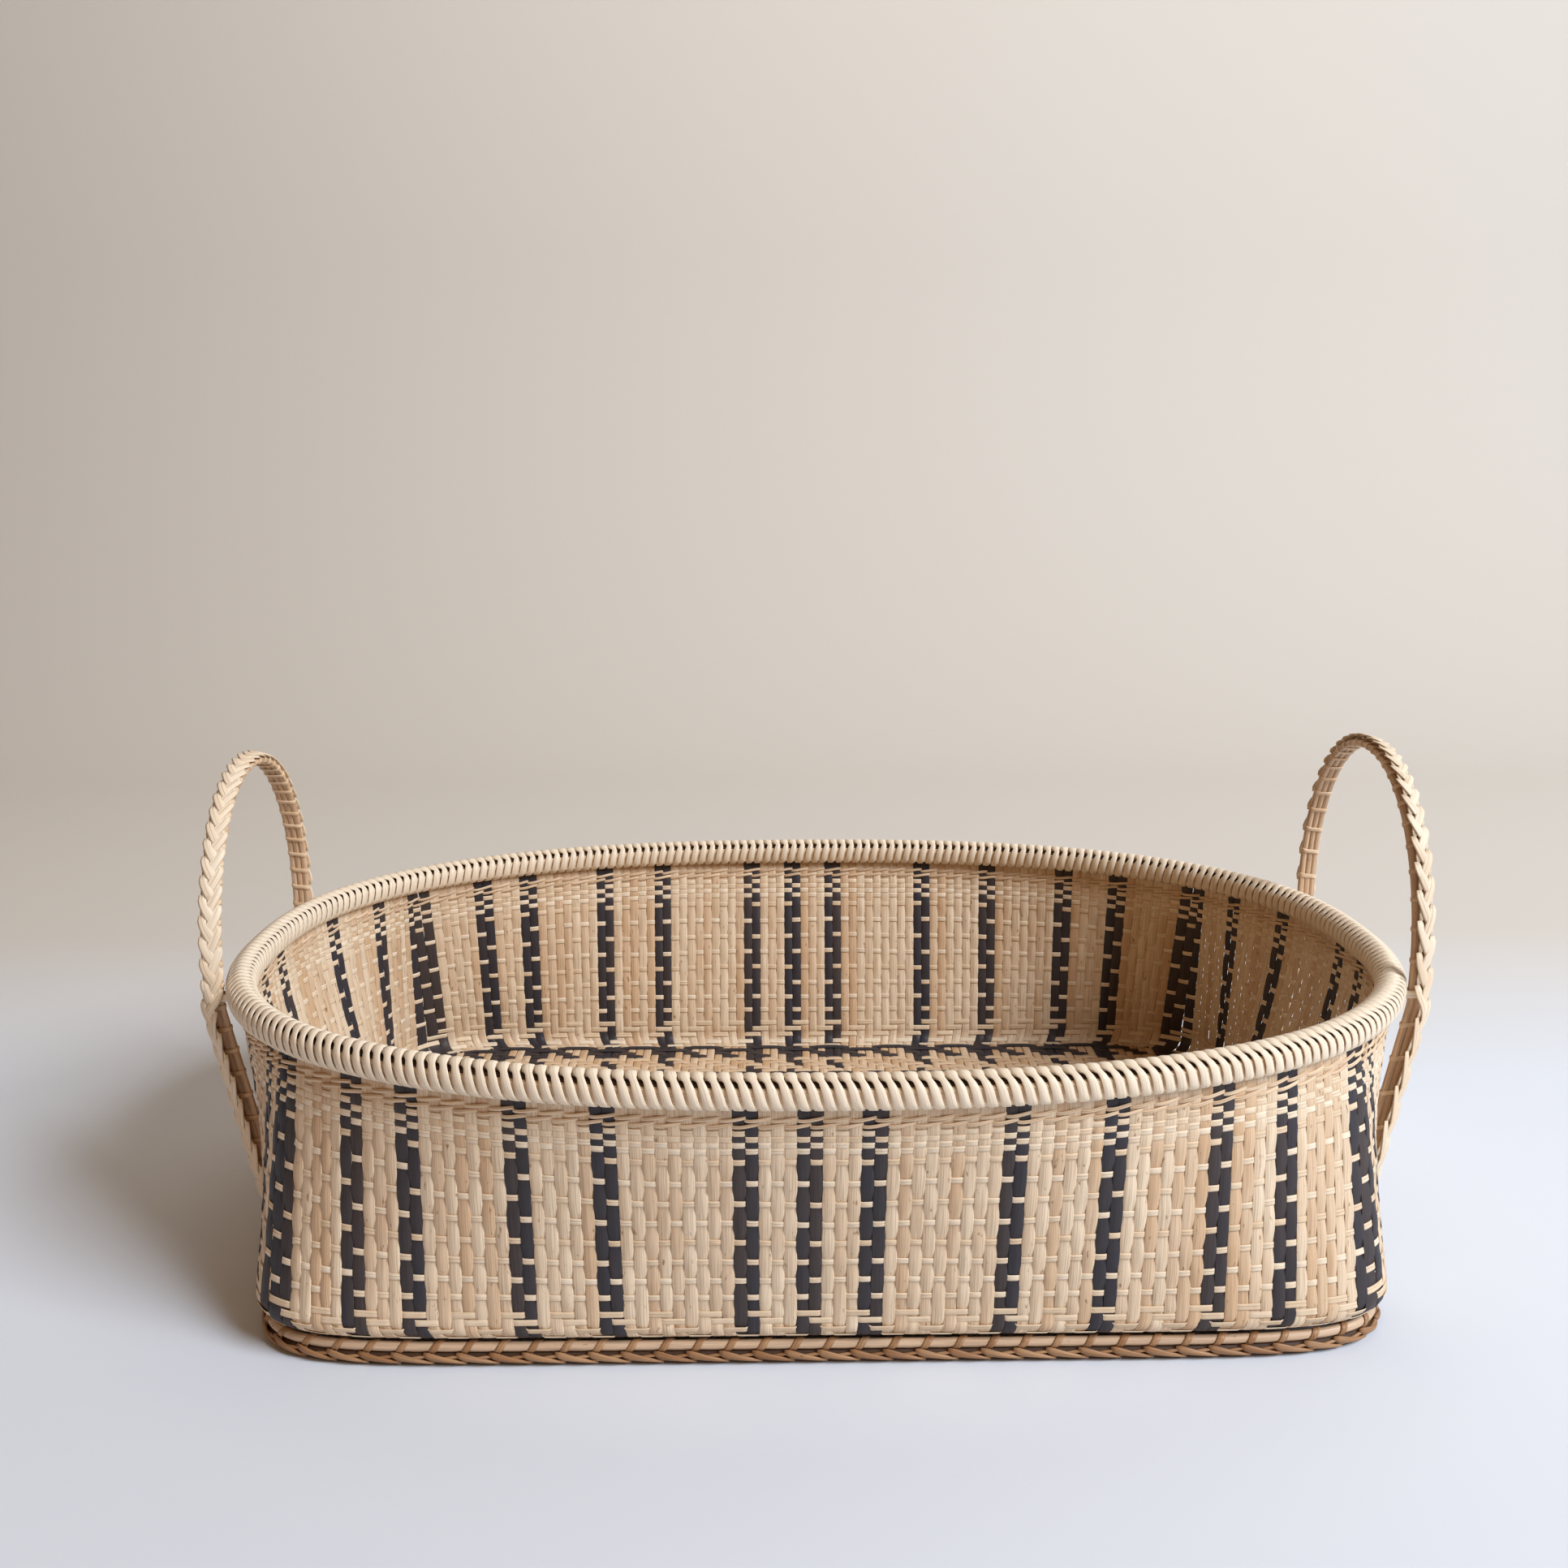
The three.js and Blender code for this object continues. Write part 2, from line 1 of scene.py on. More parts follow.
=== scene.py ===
import bpy
import numpy as np
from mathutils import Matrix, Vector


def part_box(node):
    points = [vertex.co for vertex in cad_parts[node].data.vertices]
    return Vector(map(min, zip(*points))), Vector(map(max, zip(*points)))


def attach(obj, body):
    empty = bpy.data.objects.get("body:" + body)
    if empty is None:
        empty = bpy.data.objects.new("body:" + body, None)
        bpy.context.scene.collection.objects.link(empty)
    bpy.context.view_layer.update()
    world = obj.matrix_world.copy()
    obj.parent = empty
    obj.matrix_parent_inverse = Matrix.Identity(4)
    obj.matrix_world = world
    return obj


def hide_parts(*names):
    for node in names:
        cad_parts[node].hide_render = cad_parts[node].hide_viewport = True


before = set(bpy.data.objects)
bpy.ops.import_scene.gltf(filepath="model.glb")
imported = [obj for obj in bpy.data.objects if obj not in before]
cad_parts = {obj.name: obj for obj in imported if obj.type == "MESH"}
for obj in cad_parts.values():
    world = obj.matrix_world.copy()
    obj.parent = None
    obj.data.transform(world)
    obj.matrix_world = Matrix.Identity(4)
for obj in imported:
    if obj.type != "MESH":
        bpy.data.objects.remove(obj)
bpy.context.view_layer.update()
millimetre = 0.001  # sizes below are in millimetres, the meshes and the stage in metres

# Natural wall strips
# Flat split cane about 6 mm wide, bare and pale, each strip with its own tone and grain.
# They turn up from the floor, stand side by side all round and end inside the rim.
rim_half_length = 318.0
rim_half_width = 215.0
rim_roundness = 2.38
rim_corner_x = 265.0
wall_top = 154.0
grip_bottom = 141.2
base_half_length = 286.0
base_half_width = 191.0
base_squareness = 9.3
bend_radius = 10.0
bend_top = 24.35
lean_rise = grip_bottom - bend_top
floor_middle = bend_top - bend_radius
end_bulge = 0.9
side_flare = 0.25
bend_sag = 1.6
sag_end = 0.95
sag_shape = 1.2
strip_thickness = 0.75
strip_swing = 0.34
strip_fill = 1.04
strip_swell = 0.045
strip_unevenness = 0.03
side_names = ("front", "right", "back", "left")
corner_names = ("front_right", "back_right", "back_left", "front_left")
side_strips = (91, 59, 91, 59)
dyed_along_x = np.array([-38.5, -33.5, -24.5, -17.5, -6.5, -1.5, 3.5, 14.5, 22.5, 31.5, 37.5])
dyed_along_y = np.array([-25.5, -17.5, -6.5, -1.5, 3.5, 14.5, 22.5])
side_dyed = (dyed_along_x, dyed_along_y, -dyed_along_x[::-1], -dyed_along_y[::-1])
strips_per_corner = 3


def across_at(along, half_along, half_across, exponent):
    """The other coordinate on the superellipse |along/a|^n + |across/b|^n = 1."""
    share = np.minimum(1, np.abs(along / half_along)) ** exponent
    return half_across * (1 - share) ** (1 / exponent)


rim_corner_y = across_at(rim_corner_x, rim_half_length, rim_half_width, rim_roundness)


def wall_point(turn, level):
    """Middle surface of the wall, in millimetres.

    turn runs 0 to 4 round the basket: front, right end, back, left end, from corner to corner.
    level runs 0 to 1 through the lower bend, a quarter circle that insets the base outline,
    1 to 2 up the leaning wall, which blends the base outline into the rim outline, and 2 to 3
    straight up between the rim's hoops.
    """
    turn, level = np.broadcast_arrays(np.asarray(turn, float) % 4, np.asarray(level, float))
    side = np.floor(turn)
    place = 2 * (turn - side) - 1
    long_side = side % 2 == 0
    bend = np.clip(level, 0, 1) * np.pi / 2
    rise = np.clip(level - 1, 0, 1)
    grip = np.maximum(level - 2, 0)
    inset = bend_radius * (1 - np.sin(bend))
    base_along = np.where(long_side, base_half_length, base_half_width) - inset
    base_across = np.where(long_side, base_half_width, base_half_length) - inset
    rim_along = np.where(long_side, rim_half_length, rim_half_width)
    rim_across = np.where(long_side, rim_half_width, rim_half_length)
    base_corner = base_along * 2 ** (-1 / base_squareness)
    rim_corner = np.where(long_side, rim_corner_x, rim_corner_y)
    along_base = place * base_corner
    along_rim = place * (base_corner * (1 - place**2) + rim_corner * place**2)
    across_base = across_at(along_base, base_along, base_across, base_squareness)
    across_rim = across_at(along_rim, rim_along, rim_across, rim_roundness)
    belly = np.where(long_side, -side_flare, end_bulge) * (1 - place**2)
    lean = rise * (1 + belly * (1 - rise))
    along = along_base + (along_rim - along_base) * lean
    across = across_base + (across_rim - across_base) * lean
    bend_height = floor_middle + bend_radius * (1 - np.cos(bend))
    lean_height = bend_top + lean_rise * rise + (wall_top - grip_bottom) * grip
    height = np.where(level < 1, bend_height, lean_height)
    quarter = side * np.pi / 2
    x = along * np.cos(quarter) + across * np.sin(quarter)
    y = along * np.sin(quarter) - across * np.cos(quarter)
    return np.stack([x, y, height], axis=-1)


def unit(vectors):
    """The same directions with length one."""
    return vectors / np.linalg.norm(vectors, axis=-1, keepdims=True)


def wall_round(turn, level):
    """How far the wall runs, in millimetres and as a vector, for one unit of turn."""
    step = 0.003
    return (wall_point(turn + step, level) - wall_point(turn - step, level)) / (2 * step)


def wall_outward(turn, level):
    """The wall's outward direction: its run round the basket crossed with its run upwards."""
    step = 0.02
    above = wall_point(turn, np.minimum(level + step, 3))
    below = wall_point(turn, np.maximum(level - step, 0))
    return unit(np.cross(wall_round(turn, level), above - below))


def weave_point(turn, level):
    """Where the weave's middle lies, and its outward direction.

    It keeps to the wall's middle surface, but in the lower bend it sags outwards by up to
    bend_sag, so that the wall's lower edge hangs over the foot.
    """
    outward = wall_outward(turn, level)
    sag = bend_sag * np.sin(np.pi * np.clip(level / sag_end, 0, 1)) ** sag_shape
    return wall_point(turn, level) + outward * sag[..., None], outward


def level_at(height):
    """The wall's level at a height between the bend and the rim."""
    return 1 + (height - bend_top) / lean_rise


def stand_strips(side):
    """Turn and pitch, in turns, of the strips of one side, and the number of each one's dyed pair.

    A dyed pair stands where its CAD node does, and natural strips, numbered 0, share the stretches
    between evenly.
    """
    count = side_strips[side]
    side_end = (count - strips_per_corner) / 2
    pairs = side_dyed[side]
    stretches = np.append(pairs - 1, side_end) - np.append(-side_end, pairs + 1)
    counts = np.full(2 * len(pairs) + 1, 2)
    counts[0::2] = np.ceil(stretches)
    widths = np.ones(len(counts))
    widths[0::2] = stretches / counts[0::2]
    numbers = np.zeros(len(counts), int)
    numbers[1::2] = np.arange(len(pairs)) + 1
    pitches = np.repeat(widths, counts)
    places = np.cumsum(pitches) - pitches / 2 - side_end
    return side + 0.5 + places / count, pitches / count, np.repeat(numbers, counts)


# Every strip of the wall in order round the basket, with the node that it stands for
strip_turn = np.zeros(0)
strip_pitch = np.zeros(0)
strip_node = []
for side, side_name in enumerate(side_names):
    turns, pitches, numbers = stand_strips(side)
    after = (side + 1) % 4
    own_pitch = 1 / side_strips[side]
    next_pitch = 1 / side_strips[after]
    corner_turns = side + 1 + np.array([-own_pitch, 0, next_pitch])
    corner_pitches = np.array([own_pitch, (own_pitch + next_pitch) / 2, next_pitch])
    strip_turn = np.concatenate([strip_turn, turns, corner_turns])
    strip_pitch = np.concatenate([strip_pitch, pitches, corner_pitches])
    strip_node += [f"dyed_{side_name}_{n:02d}" if n else f"wall_{side_name}" for n in numbers]
    strip_node += [f"dyed_corner_{corner_names[side]}"] * strips_per_corner
strip_node = np.array(strip_node)
strip_count = len(strip_turn)
strip_number = np.arange(strip_count)
uneven = np.random.default_rng(11)
strip_width_share = 1 + strip_unevenness * np.clip(uneven.standard_normal(strip_count), -2, 2)

# The weft rows that cross the strips, from the floor to the rim: twill in the bend, plain, then close
twill_top = 28.5
twill_levels = np.array([0.14, 0.44, 0.74, 1.0, level_at(twill_top)])
plain_rows = 8
plain_bottom = 38.0
plain_top = 113.3
plain_widening = 1.07
close_rows = 4
close_bottom = 119.3
close_pitch = 3.25
plain_shares = np.linspace(0, 1, plain_rows) ** plain_widening
plain_levels = level_at(plain_bottom + (plain_top - plain_bottom) * plain_shares)
close_levels = level_at(close_bottom + close_pitch * np.arange(close_rows))
woven_levels = np.concatenate([twill_levels, plain_levels, close_levels])
twill_rows = len(twill_levels)
woven_rows = len(woven_levels)

# Which strips lie outside each row (+1) and which inside (-1): over two and under two in the twill
strip_grid, row_grid = np.meshgrid(strip_number, np.arange(woven_rows), indexing="ij")
twill_side = np.where((strip_grid + row_grid) % 4 < 2, 1.0, -1.0)
plain_side = np.where((strip_grid + row_grid) % 2 == 0, 1.0, -1.0)
strip_side = np.where(row_grid < twill_rows, twill_side, plain_side)

row_drift = 0.9
drift_waves = ((2.3, 1.7), (5.9, -0.8))
drift_bottom = 1.05
drift_reach = 0.9


def drifted(turn, level):
    """Hand-woven rows don't run quite level: they rise and fall by row_drift, least at the ends.

    The drift is the sum of two sine waves, each with its own number of waves to a turn and to a level.
    """
    wave = sum(np.sin(2 * np.pi * (to_turn * turn + to_level * level)) for to_turn, to_level in drift_waves)
    middle = np.sin(np.pi * np.clip((level - drift_bottom) / drift_reach, 0, 1))
    return level + row_drift / 2 / lean_rise * wave * middle


def ease(share):
    """A smooth step from 0 to 1."""
    share = np.clip(share, 0, 1)
    return share * share * (3 - 2 * share)


# Stations up a strip: a few between each two rows, and the side that the strip keeps to at each
straight_height = 135.0
wide_gap = 0.06
wide_gap_steps = 4
close_gap_steps = 2
straight_levels = [level_at(straight_height), 2.0, 3.0]
held_levels = np.concatenate([[0.0], woven_levels, straight_levels])
held_side = np.pad(strip_side, ((0, 0), (1, len(straight_levels))))
gap_steps = np.where(np.diff(held_levels) > wide_gap, wide_gap_steps, close_gap_steps)
station_row = np.concatenate([np.repeat(np.arange(len(gap_steps)), gap_steps), [len(gap_steps) - 1]])
station_share = np.concatenate([np.concatenate([np.arange(n) / n for n in gap_steps]), [1.0]])
station_level = held_levels[station_row] + np.diff(held_levels)[station_row] * station_share
side_below = held_side[:, station_row]
side_above = held_side[:, station_row + 1]
station_side = side_below + (side_above - side_below) * ease(station_share)


def section_of(corners):
    """A strip's section, anticlockwise: corners [across, outwards], then the same turned half round."""
    return np.concatenate([np.array(corners), -np.array(corners)])


flat_section = section_of([[-1, 0], [-0.88, -0.75], [0, -1], [0.88, -0.75]])


def stand(name, data):
    """A new object of the scene that shows a mesh, a light or a camera."""
    made = bpy.data.objects.new(name, data)
    bpy.context.scene.collection.objects.link(made)
    return made


def add_strips(name, middle, outward, half_width, half_thickness, section, number, closed=False):
    """One mesh of many strips, each a section carried along its own path, in millimetres.

    middle is a grid of points, one row for each strip, and outward the direction that its face
    looks. Across is outward crossed with the path's own direction. Each section point lies at
    middle + across times half_width + outward times half_thickness. Open strips get end faces.
    The strip attribute holds millimetres across, millimetres along and the strip's number, from
    which the cane's finish takes each strip's own tone.
    """
    if closed:
        forward = unit(np.roll(middle, -1, axis=1) - np.roll(middle, 1, axis=1))
    else:
        forward = unit(np.gradient(middle, axis=1))
    outward = unit(outward - np.sum(outward * forward, axis=-1, keepdims=True) * forward)
    across = np.cross(outward, forward)
    half_width = np.broadcast_to(half_width, middle.shape[:2])
    half_thickness = np.broadcast_to(half_thickness, middle.shape[:2])
    sideways = half_width[..., None] * section[:, 0]
    lift = half_thickness[..., None] * section[:, 1]
    points = middle[:, :, None] + across[:, :, None] * sideways[..., None]
    points = points + outward[:, :, None] * lift[..., None]

    strips, stations, corners = points.shape[:3]
    index = np.arange(strips * stations * corners).reshape(strips, stations, corners)
    ahead = np.roll(index, -1, axis=1)
    if not closed:
        index, ahead = index[:, :-1], ahead[:, :-1]
    faces = np.stack([index, np.roll(index, -1, axis=2), np.roll(ahead, -1, axis=2), ahead], axis=-1)
    loops = faces.reshape(-1)
    starts = np.arange(0, len(loops), 4)
    if not closed:
        ends = np.concatenate([index[:, 0, ::-1], ahead[:, -1]]).reshape(-1)
        starts = np.concatenate([starts, len(loops) + np.arange(0, len(ends), corners)])
        loops = np.concatenate([loops, ends])

    run = np.linalg.norm(np.diff(middle, axis=1), axis=-1)
    along = np.pad(np.cumsum(run, axis=1), ((0, 0), (1, 0)))
    number = np.broadcast_to(np.asarray(number, float)[:, None, None], points.shape[:3])
    strip = np.stack([sideways, np.broadcast_to(along[..., None], points.shape[:3]), number], axis=-1)

    mesh = bpy.data.meshes.new(name)
    mesh.vertices.add(strips * stations * corners)
    mesh.vertices.foreach_set("co", (points * millimetre).astype(np.float32).ravel())
    mesh.loops.add(len(loops))
    mesh.loops.foreach_set("vertex_index", loops.astype(np.int32))
    mesh.polygons.add(len(starts))
    mesh.polygons.foreach_set("loop_start", starts.astype(np.int32))
    mesh.update(calc_edges=True)
    mesh.shade_smooth()
    attribute = mesh.attributes.new("strip", "FLOAT_VECTOR", "POINT")
    attribute.data.foreach_set("vector", strip.astype(np.float32).ravel())
    return stand(name, mesh)


# How fine split cane's markings are: scales of the noise across, along and from strip to strip
fibre_scale = (2.3, 0.035, 7.3)
tone_scale = (0.10, 0.018, 3.1)
fleck_scale = (0.42, 0.17, 5.7)
# Which part of each noise shows, and how deep a tone it gives
own_tone_range = ((0.4, 1), (-0.08, 0.9))
tone_range = ((0.35, 0.7), (0, 0.55))
fibre_part = (0.36, 0.56)
fibre_shade = 0.42
fleck_part = (0.66, 0.74)
fleck_shade = (0.42, 0.3, 0.2)
# The crease values place a thin line of painted shade that stands for the shade in a fine groove along the
# strip
crease_part = (0.42, 0.52)
crease_place = 0.35
crease_half_width = 0.12
gloss_part = (0.3, 0.7)
dull_fibre = 0.12
bright_fibre = -0.06
fibre_relief = 0.00022
relief_strength = 0.5
cane_shine = 0.35
# Places of the colour sockets on Blender's mixing node
first_colour = 6
second_colour = 7
mixed_colour = 2


def add_node(tree, kind, values=(), **settings):
    """A new shader node with its settings, and pairs of an input's name or place and its value."""
    made = tree.nodes.new("ShaderNode" + kind)
    for key, value in settings.items():
        setattr(made, key, value)
    for key, value in values:
        made.inputs[key].default_value = value
    return made


def cane_finish(name, pale, deep, fibre, fleck, rough, crease_shade=0.0):
    """Split cane: long fibres, broad tones along each strip, a tone for each strip, brown flecks.

    The fibres are noise stretched along the strip, read from the strip attribute in millimetres.
    The crease is a thin line of painted shade along the strip, the shade of a fine groove, a little off its
    middle, that comes and goes.
    """
    material = bpy.data.materials.new(name)
    material.use_nodes = True
    tree = material.node_tree
    link = tree.links.new
    shader = tree.nodes["Principled BSDF"]

    def noise(scale, detail):
        stretched = add_node(tree, "Mapping", [("Scale", scale)])
        texture = add_node(tree, "TexNoise", [("Scale", 1), ("Detail", detail)])
        link(place.outputs["Vector"], stretched.inputs["Vector"])
        link(stretched.outputs["Vector"], texture.inputs["Vector"])
        return texture.outputs["Fac"]

    def spread(value, part, depth):
        ends = zip(("From Min", "From Max", "To Min", "To Max"), (*part, *depth))
        spreader = add_node(tree, "MapRange", ends)
        link(value, spreader.inputs["Value"])
        return spreader.outputs["Result"]

    def add(first, second):
        adder = add_node(tree, "Math", operation="ADD", use_clamp=True)
        link(first, adder.inputs[0])
        link(second, adder.inputs[1])
        return adder.outputs["Value"]

    def blend(share, first, second):
        mixer = add_node(tree, "Mix", data_type="RGBA")
        link(share, mixer.inputs["Factor"])
        for value, socket in ((first, mixer.inputs[first_colour]), (second, mixer.inputs[second_colour])):
            if isinstance(value, tuple):
                socket.default_value = (*value, 1)
            else:
                link(value, socket)
        return mixer.outputs[mixed_colour]

    place = add_node(tree, "Attribute", attribute_name="strip")
    split = add_node(tree, "SeparateXYZ")
    link(place.outputs["Vector"], split.inputs["Vector"])
    strip_tone = add_node(tree, "TexWhiteNoise", noise_dimensions="1D")
    link(split.outputs["Z"], strip_tone.inputs["W"])
    fibres = noise(fibre_scale, detail=4)
    tones = noise(tone_scale, detail=2)
    flecks = noise(fleck_scale, detail=3)

    own_tone = spread(strip_tone.outputs["Value"], *own_tone_range)
    colour = blend(add(own_tone, spread(tones, *tone_range)), pale, deep)
    fibre_colour = tuple(value * fibre_shade for value in deep)
    colour = blend(spread(fibres, fibre_part, (fibre, 0)), colour, fibre_colour)
    fleck_colour = tuple(value * shade for value, shade in zip(deep, fleck_shade))
    colour = blend(spread(flecks, fleck_part, (0, fleck)), colour, fleck_colour)
    # Painted shade: the crease darkens a thin line toward the fibre colour, as the shade in a groove would
    if crease_shade:
        crease_values = [(1, crease_place), (2, crease_half_width)]
        line = add_node(tree, "Math", crease_values, operation="COMPARE")
        link(split.outputs["X"], line.inputs[0])
        shown = add_node(tree, "Math", operation="MULTIPLY")
        link(line.outputs["Value"], shown.inputs[0])
        link(spread(tones, crease_part, (0, crease_shade)), shown.inputs[1])
        colour = blend(shown.outputs["Value"], colour, fibre_colour)
    link(colour, shader.inputs["Base Color"])
    gloss = spread(fibres, gloss_part, (rough + dull_fibre, rough + bright_fibre))
    link(gloss, shader.inputs["Roughness"])
    relief = [("Strength", relief_strength), ("Distance", fibre_relief)]
    bump = add_node(tree, "Bump", relief)
    link(fibres, bump.inputs["Height"])
    link(bump.outputs["Normal"], shader.inputs["Normal"])
    shader.inputs["Specular IOR Level"].default_value = cane_shine
    return material


def dress(piece, material):
    """Gives a piece its finish and its slot, and lets it ride on the basket's one body."""
    piece.data.materials.append(material)
    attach(piece, "root")


def add_wall_strips(name, chosen):
    """The chosen strips, each swinging out where it lies over a weft row and in where it lies under.

    Half width is half the local pitch, filled by strip_fill, swelling and narrowing with the swing.
    """
    turn = strip_turn[chosen, None]
    level = drifted(turn, station_level[None, :])
    swing = station_side[chosen]
    point, outward = weave_point(turn, level)
    middle = point + outward * (strip_swing * swing)[..., None]
    pitch = np.linalg.norm(wall_round(turn, level), axis=-1) * strip_pitch[chosen, None]
    half_width = pitch / 2 * (strip_fill + strip_swell * swing) * strip_width_share[chosen, None]
    numbers = strip_number[chosen]
    return add_strips(name, middle, outward, half_width, strip_thickness / 2, flat_section, numbers)


natural_cane = cane_finish(
    "natural_cane", (0.84, 0.68, 0.49), (0.66, 0.44, 0.26), fibre=0.44, fleck=0.8, rough=0.48)
for side_name in side_names:
    strips = add_wall_strips(f"strips_{side_name}", strip_node == f"wall_{side_name}")
    dress(strips, natural_cane)
    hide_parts(f"wall_{side_name}")

# Dyed wall strips
# The same split cane, dyed a dull black that shows the grain, some strips bluish and some brown.
# They stand in pairs among the natural strips, and three together at each corner.
dyed_cane = cane_finish(
    "dyed_cane", (0.031, 0.030, 0.040), (0.062, 0.045, 0.040), fibre=0.5, fleck=0.0, rough=0.5)
for node_name in sorted(set(strip_node)):
    if node_name.startswith("dyed"):
        strips = add_wall_strips(f"strips_{node_name}", strip_node == node_name)
        dress(strips, dyed_cane)
        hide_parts(node_name)

# Weft rows
# Narrow pale cane carried round the basket in rows, over one strip and under the next. In the lower
# bend each row floats over two strips and under two, and below the rim four rows lie close.
weft_half_thickness = 0.26
weft_swing = 0.48
weft_half_heights = (1.7, 1.6, 1.6)
weft_names = ("weft_twill", "weft_plain", "weft_close")
crossing_slope = 2.5
weft_number = 1000
weft_section = section_of([[-1, 0], [-0.75, -0.9], [0.75, -0.9]])
weft_shares = np.array([0.0, 0.32, 0.5, 0.68])
next_turn = np.append(strip_turn[1:], strip_turn[0] + 4)
weft_turn = (strip_turn[:, None] + (next_turn - strip_turn)[:, None] * weft_shares).reshape(-1)


def weft_offsets(sides):
    """How far out a row lies at each station: from one strip's far side to the next one's."""
    ahead = np.roll(sides, -1)
    share = ease((weft_shares - 0.5) * crossing_slope + 0.5)
    return -(sides[:, None] + (ahead - sides)[:, None] * share).reshape(-1)


def add_weft(name, rows, half_height):
    """The chosen rows as closed rings that swing out over the strips that lie inside them."""
    level = drifted(weft_turn[None, :], woven_levels[rows][:, None])
    point, outward = weave_point(weft_turn[None, :], level)
    swing = np.stack([weft_offsets(strip_side[:, row]) for row in rows])
    middle = point + outward * (weft_swing * swing)[..., None]
    numbers = weft_number + rows
    return add_strips(
        name, middle, outward, half_height, weft_half_thickness, weft_section, numbers, closed=True)


weft_cane = cane_finish(
    "weft_cane", (0.87, 0.73, 0.55), (0.78, 0.59, 0.39), fibre=0.26, fleck=0.25, rough=0.45, crease_shade=0.8)
weft_groups = np.split(np.arange(woven_rows), [twill_rows, twill_rows + plain_rows])
for weft_name, rows, half_height in zip(weft_names, weft_groups, weft_half_heights):
    dress(add_weft(weft_name, rows, half_height), weft_cane)

# Twined band
# Two rows of paired cane just under the rim, the two strands of a pair twisted round each other
# between every second strip, so that slanting floats two strips long show on both faces.
twine_heights = np.array([133.5, 136.9])
twine_reach = 1.2
twine_rise = 0.75
twine_squareness = 4.0
twine_half_height = 0.95
twine_half_thickness = 0.45
twine_number = 1100


def boxed(wave, exponent):
    """A cosine or sine squared off as on a superellipse: its sign times |wave|^(2/exponent)."""
    return np.sign(wave) * np.abs(wave) ** (2 / exponent)


strand = np.arange(2 * len(twine_heights))
twine_level = level_at(np.repeat(twine_heights, 2))[:, None]
station_place = (strip_number[:, None] + weft_shares).reshape(-1)
twine_angle = (station_place[None, :] - 0.5 + (strand // 2)[:, None]) * np.pi / 2
twine_angle = twine_angle + (strand % 2)[:, None] * np.pi - np.pi / 2
twine_out = boxed(np.cos(twine_angle), twine_squareness) * twine_reach
twine_up = np.sin(twine_angle) * twine_rise
twine_lift = twine_level + twine_up / lean_rise
twine_outward = wall_outward(weft_turn[None, :], twine_lift)
twine_middle = wall_point(weft_turn[None, :], twine_lift) + twine_outward * twine_out[..., None]
twine = add_strips(
    "twined_band", twine_middle, twine_outward, twine_half_height, twine_half_thickness, weft_section,
    twine_number + strand, closed=True)
# The twine's tan is partly painted shade: it is darker than the weft cane's because the floats face down
# under the rim and lie in its shadow
shaded_twine_cane = cane_finish(
    "shaded_twine_cane", (0.82, 0.62, 0.42), (0.68, 0.46, 0.27), fibre=0.35, fleck=0.5, rough=0.45, crease_shade=0.9)
dress(twine, shaded_twine_cane)

# Floor mat
# The wall's own strips, crossing under the basket in a twill: over two and under two.
# Dyed strips run through it both ways, and two along each long edge float over five strips at a time.
floor_thickness = 0.9
floor_swing = 0.5
floor_fill = 0.97
edge_places = np.array([172.9, 177.8])
edge_float = 5
edge_period = 8
edge_lift = 2.0
edge_dip = -0.5
floor_end = 2.0
past_share = 0.005
floor_numbers = (1200, 1400)
upright = np.array([0.0, 0.0, 1.0])


def floor_strips(side):
    """Place and dye of the strips that a long or an end wall sends across the floor, in order."""
    half_pitch = 0.5 / side_strips[side]
    own = (strip_turn >= side - half_pitch) & (strip_turn <= side + 1 + half_pitch)
    if side == 0:
        last_corner = 4 - 1.5 / side_strips[3]
        own |= strip_turn > last_corner
    place = wall_point(strip_turn[own], 0)[:, side % 2]
    order = np.argsort(place)
    dyed = np.char.startswith(strip_node[own], "dyed")
    return place[order], dyed[order]


floor_x, floor_x_dyed = floor_strips(0)
floor_y, floor_y_dyed = floor_strips(1)
floor_y = np.concatenate([-edge_places[::-1], floor_y, edge_places])
floor_y_dyed = np.concatenate([[True, True], floor_y_dyed, [True, True]])
floor_places = (floor_x, floor_y)
floor_dyed = (floor_x_dyed, floor_y_dyed)
floor_halves = (base_half_length - bend_radius, base_half_width - bend_radius)

# How high each crossways strip lies where it meets each lengthways one: above, +1, or below, -1
x_grid, y_grid = np.meshgrid(np.arange(len(floor_x)), np.arange(len(floor_y)), indexing="ij")
floor_side = np.where((x_grid + y_grid) % 4 < 2, 1.0, -1.0)
on_edge = np.abs(floor_y) >= edge_places[0]
edge_side = np.where((x_grid + edge_period // 2 * y_grid) % edge_period < edge_float, -1.0, 1.0)
floor_side = np.where(on_edge, edge_side, floor_side)


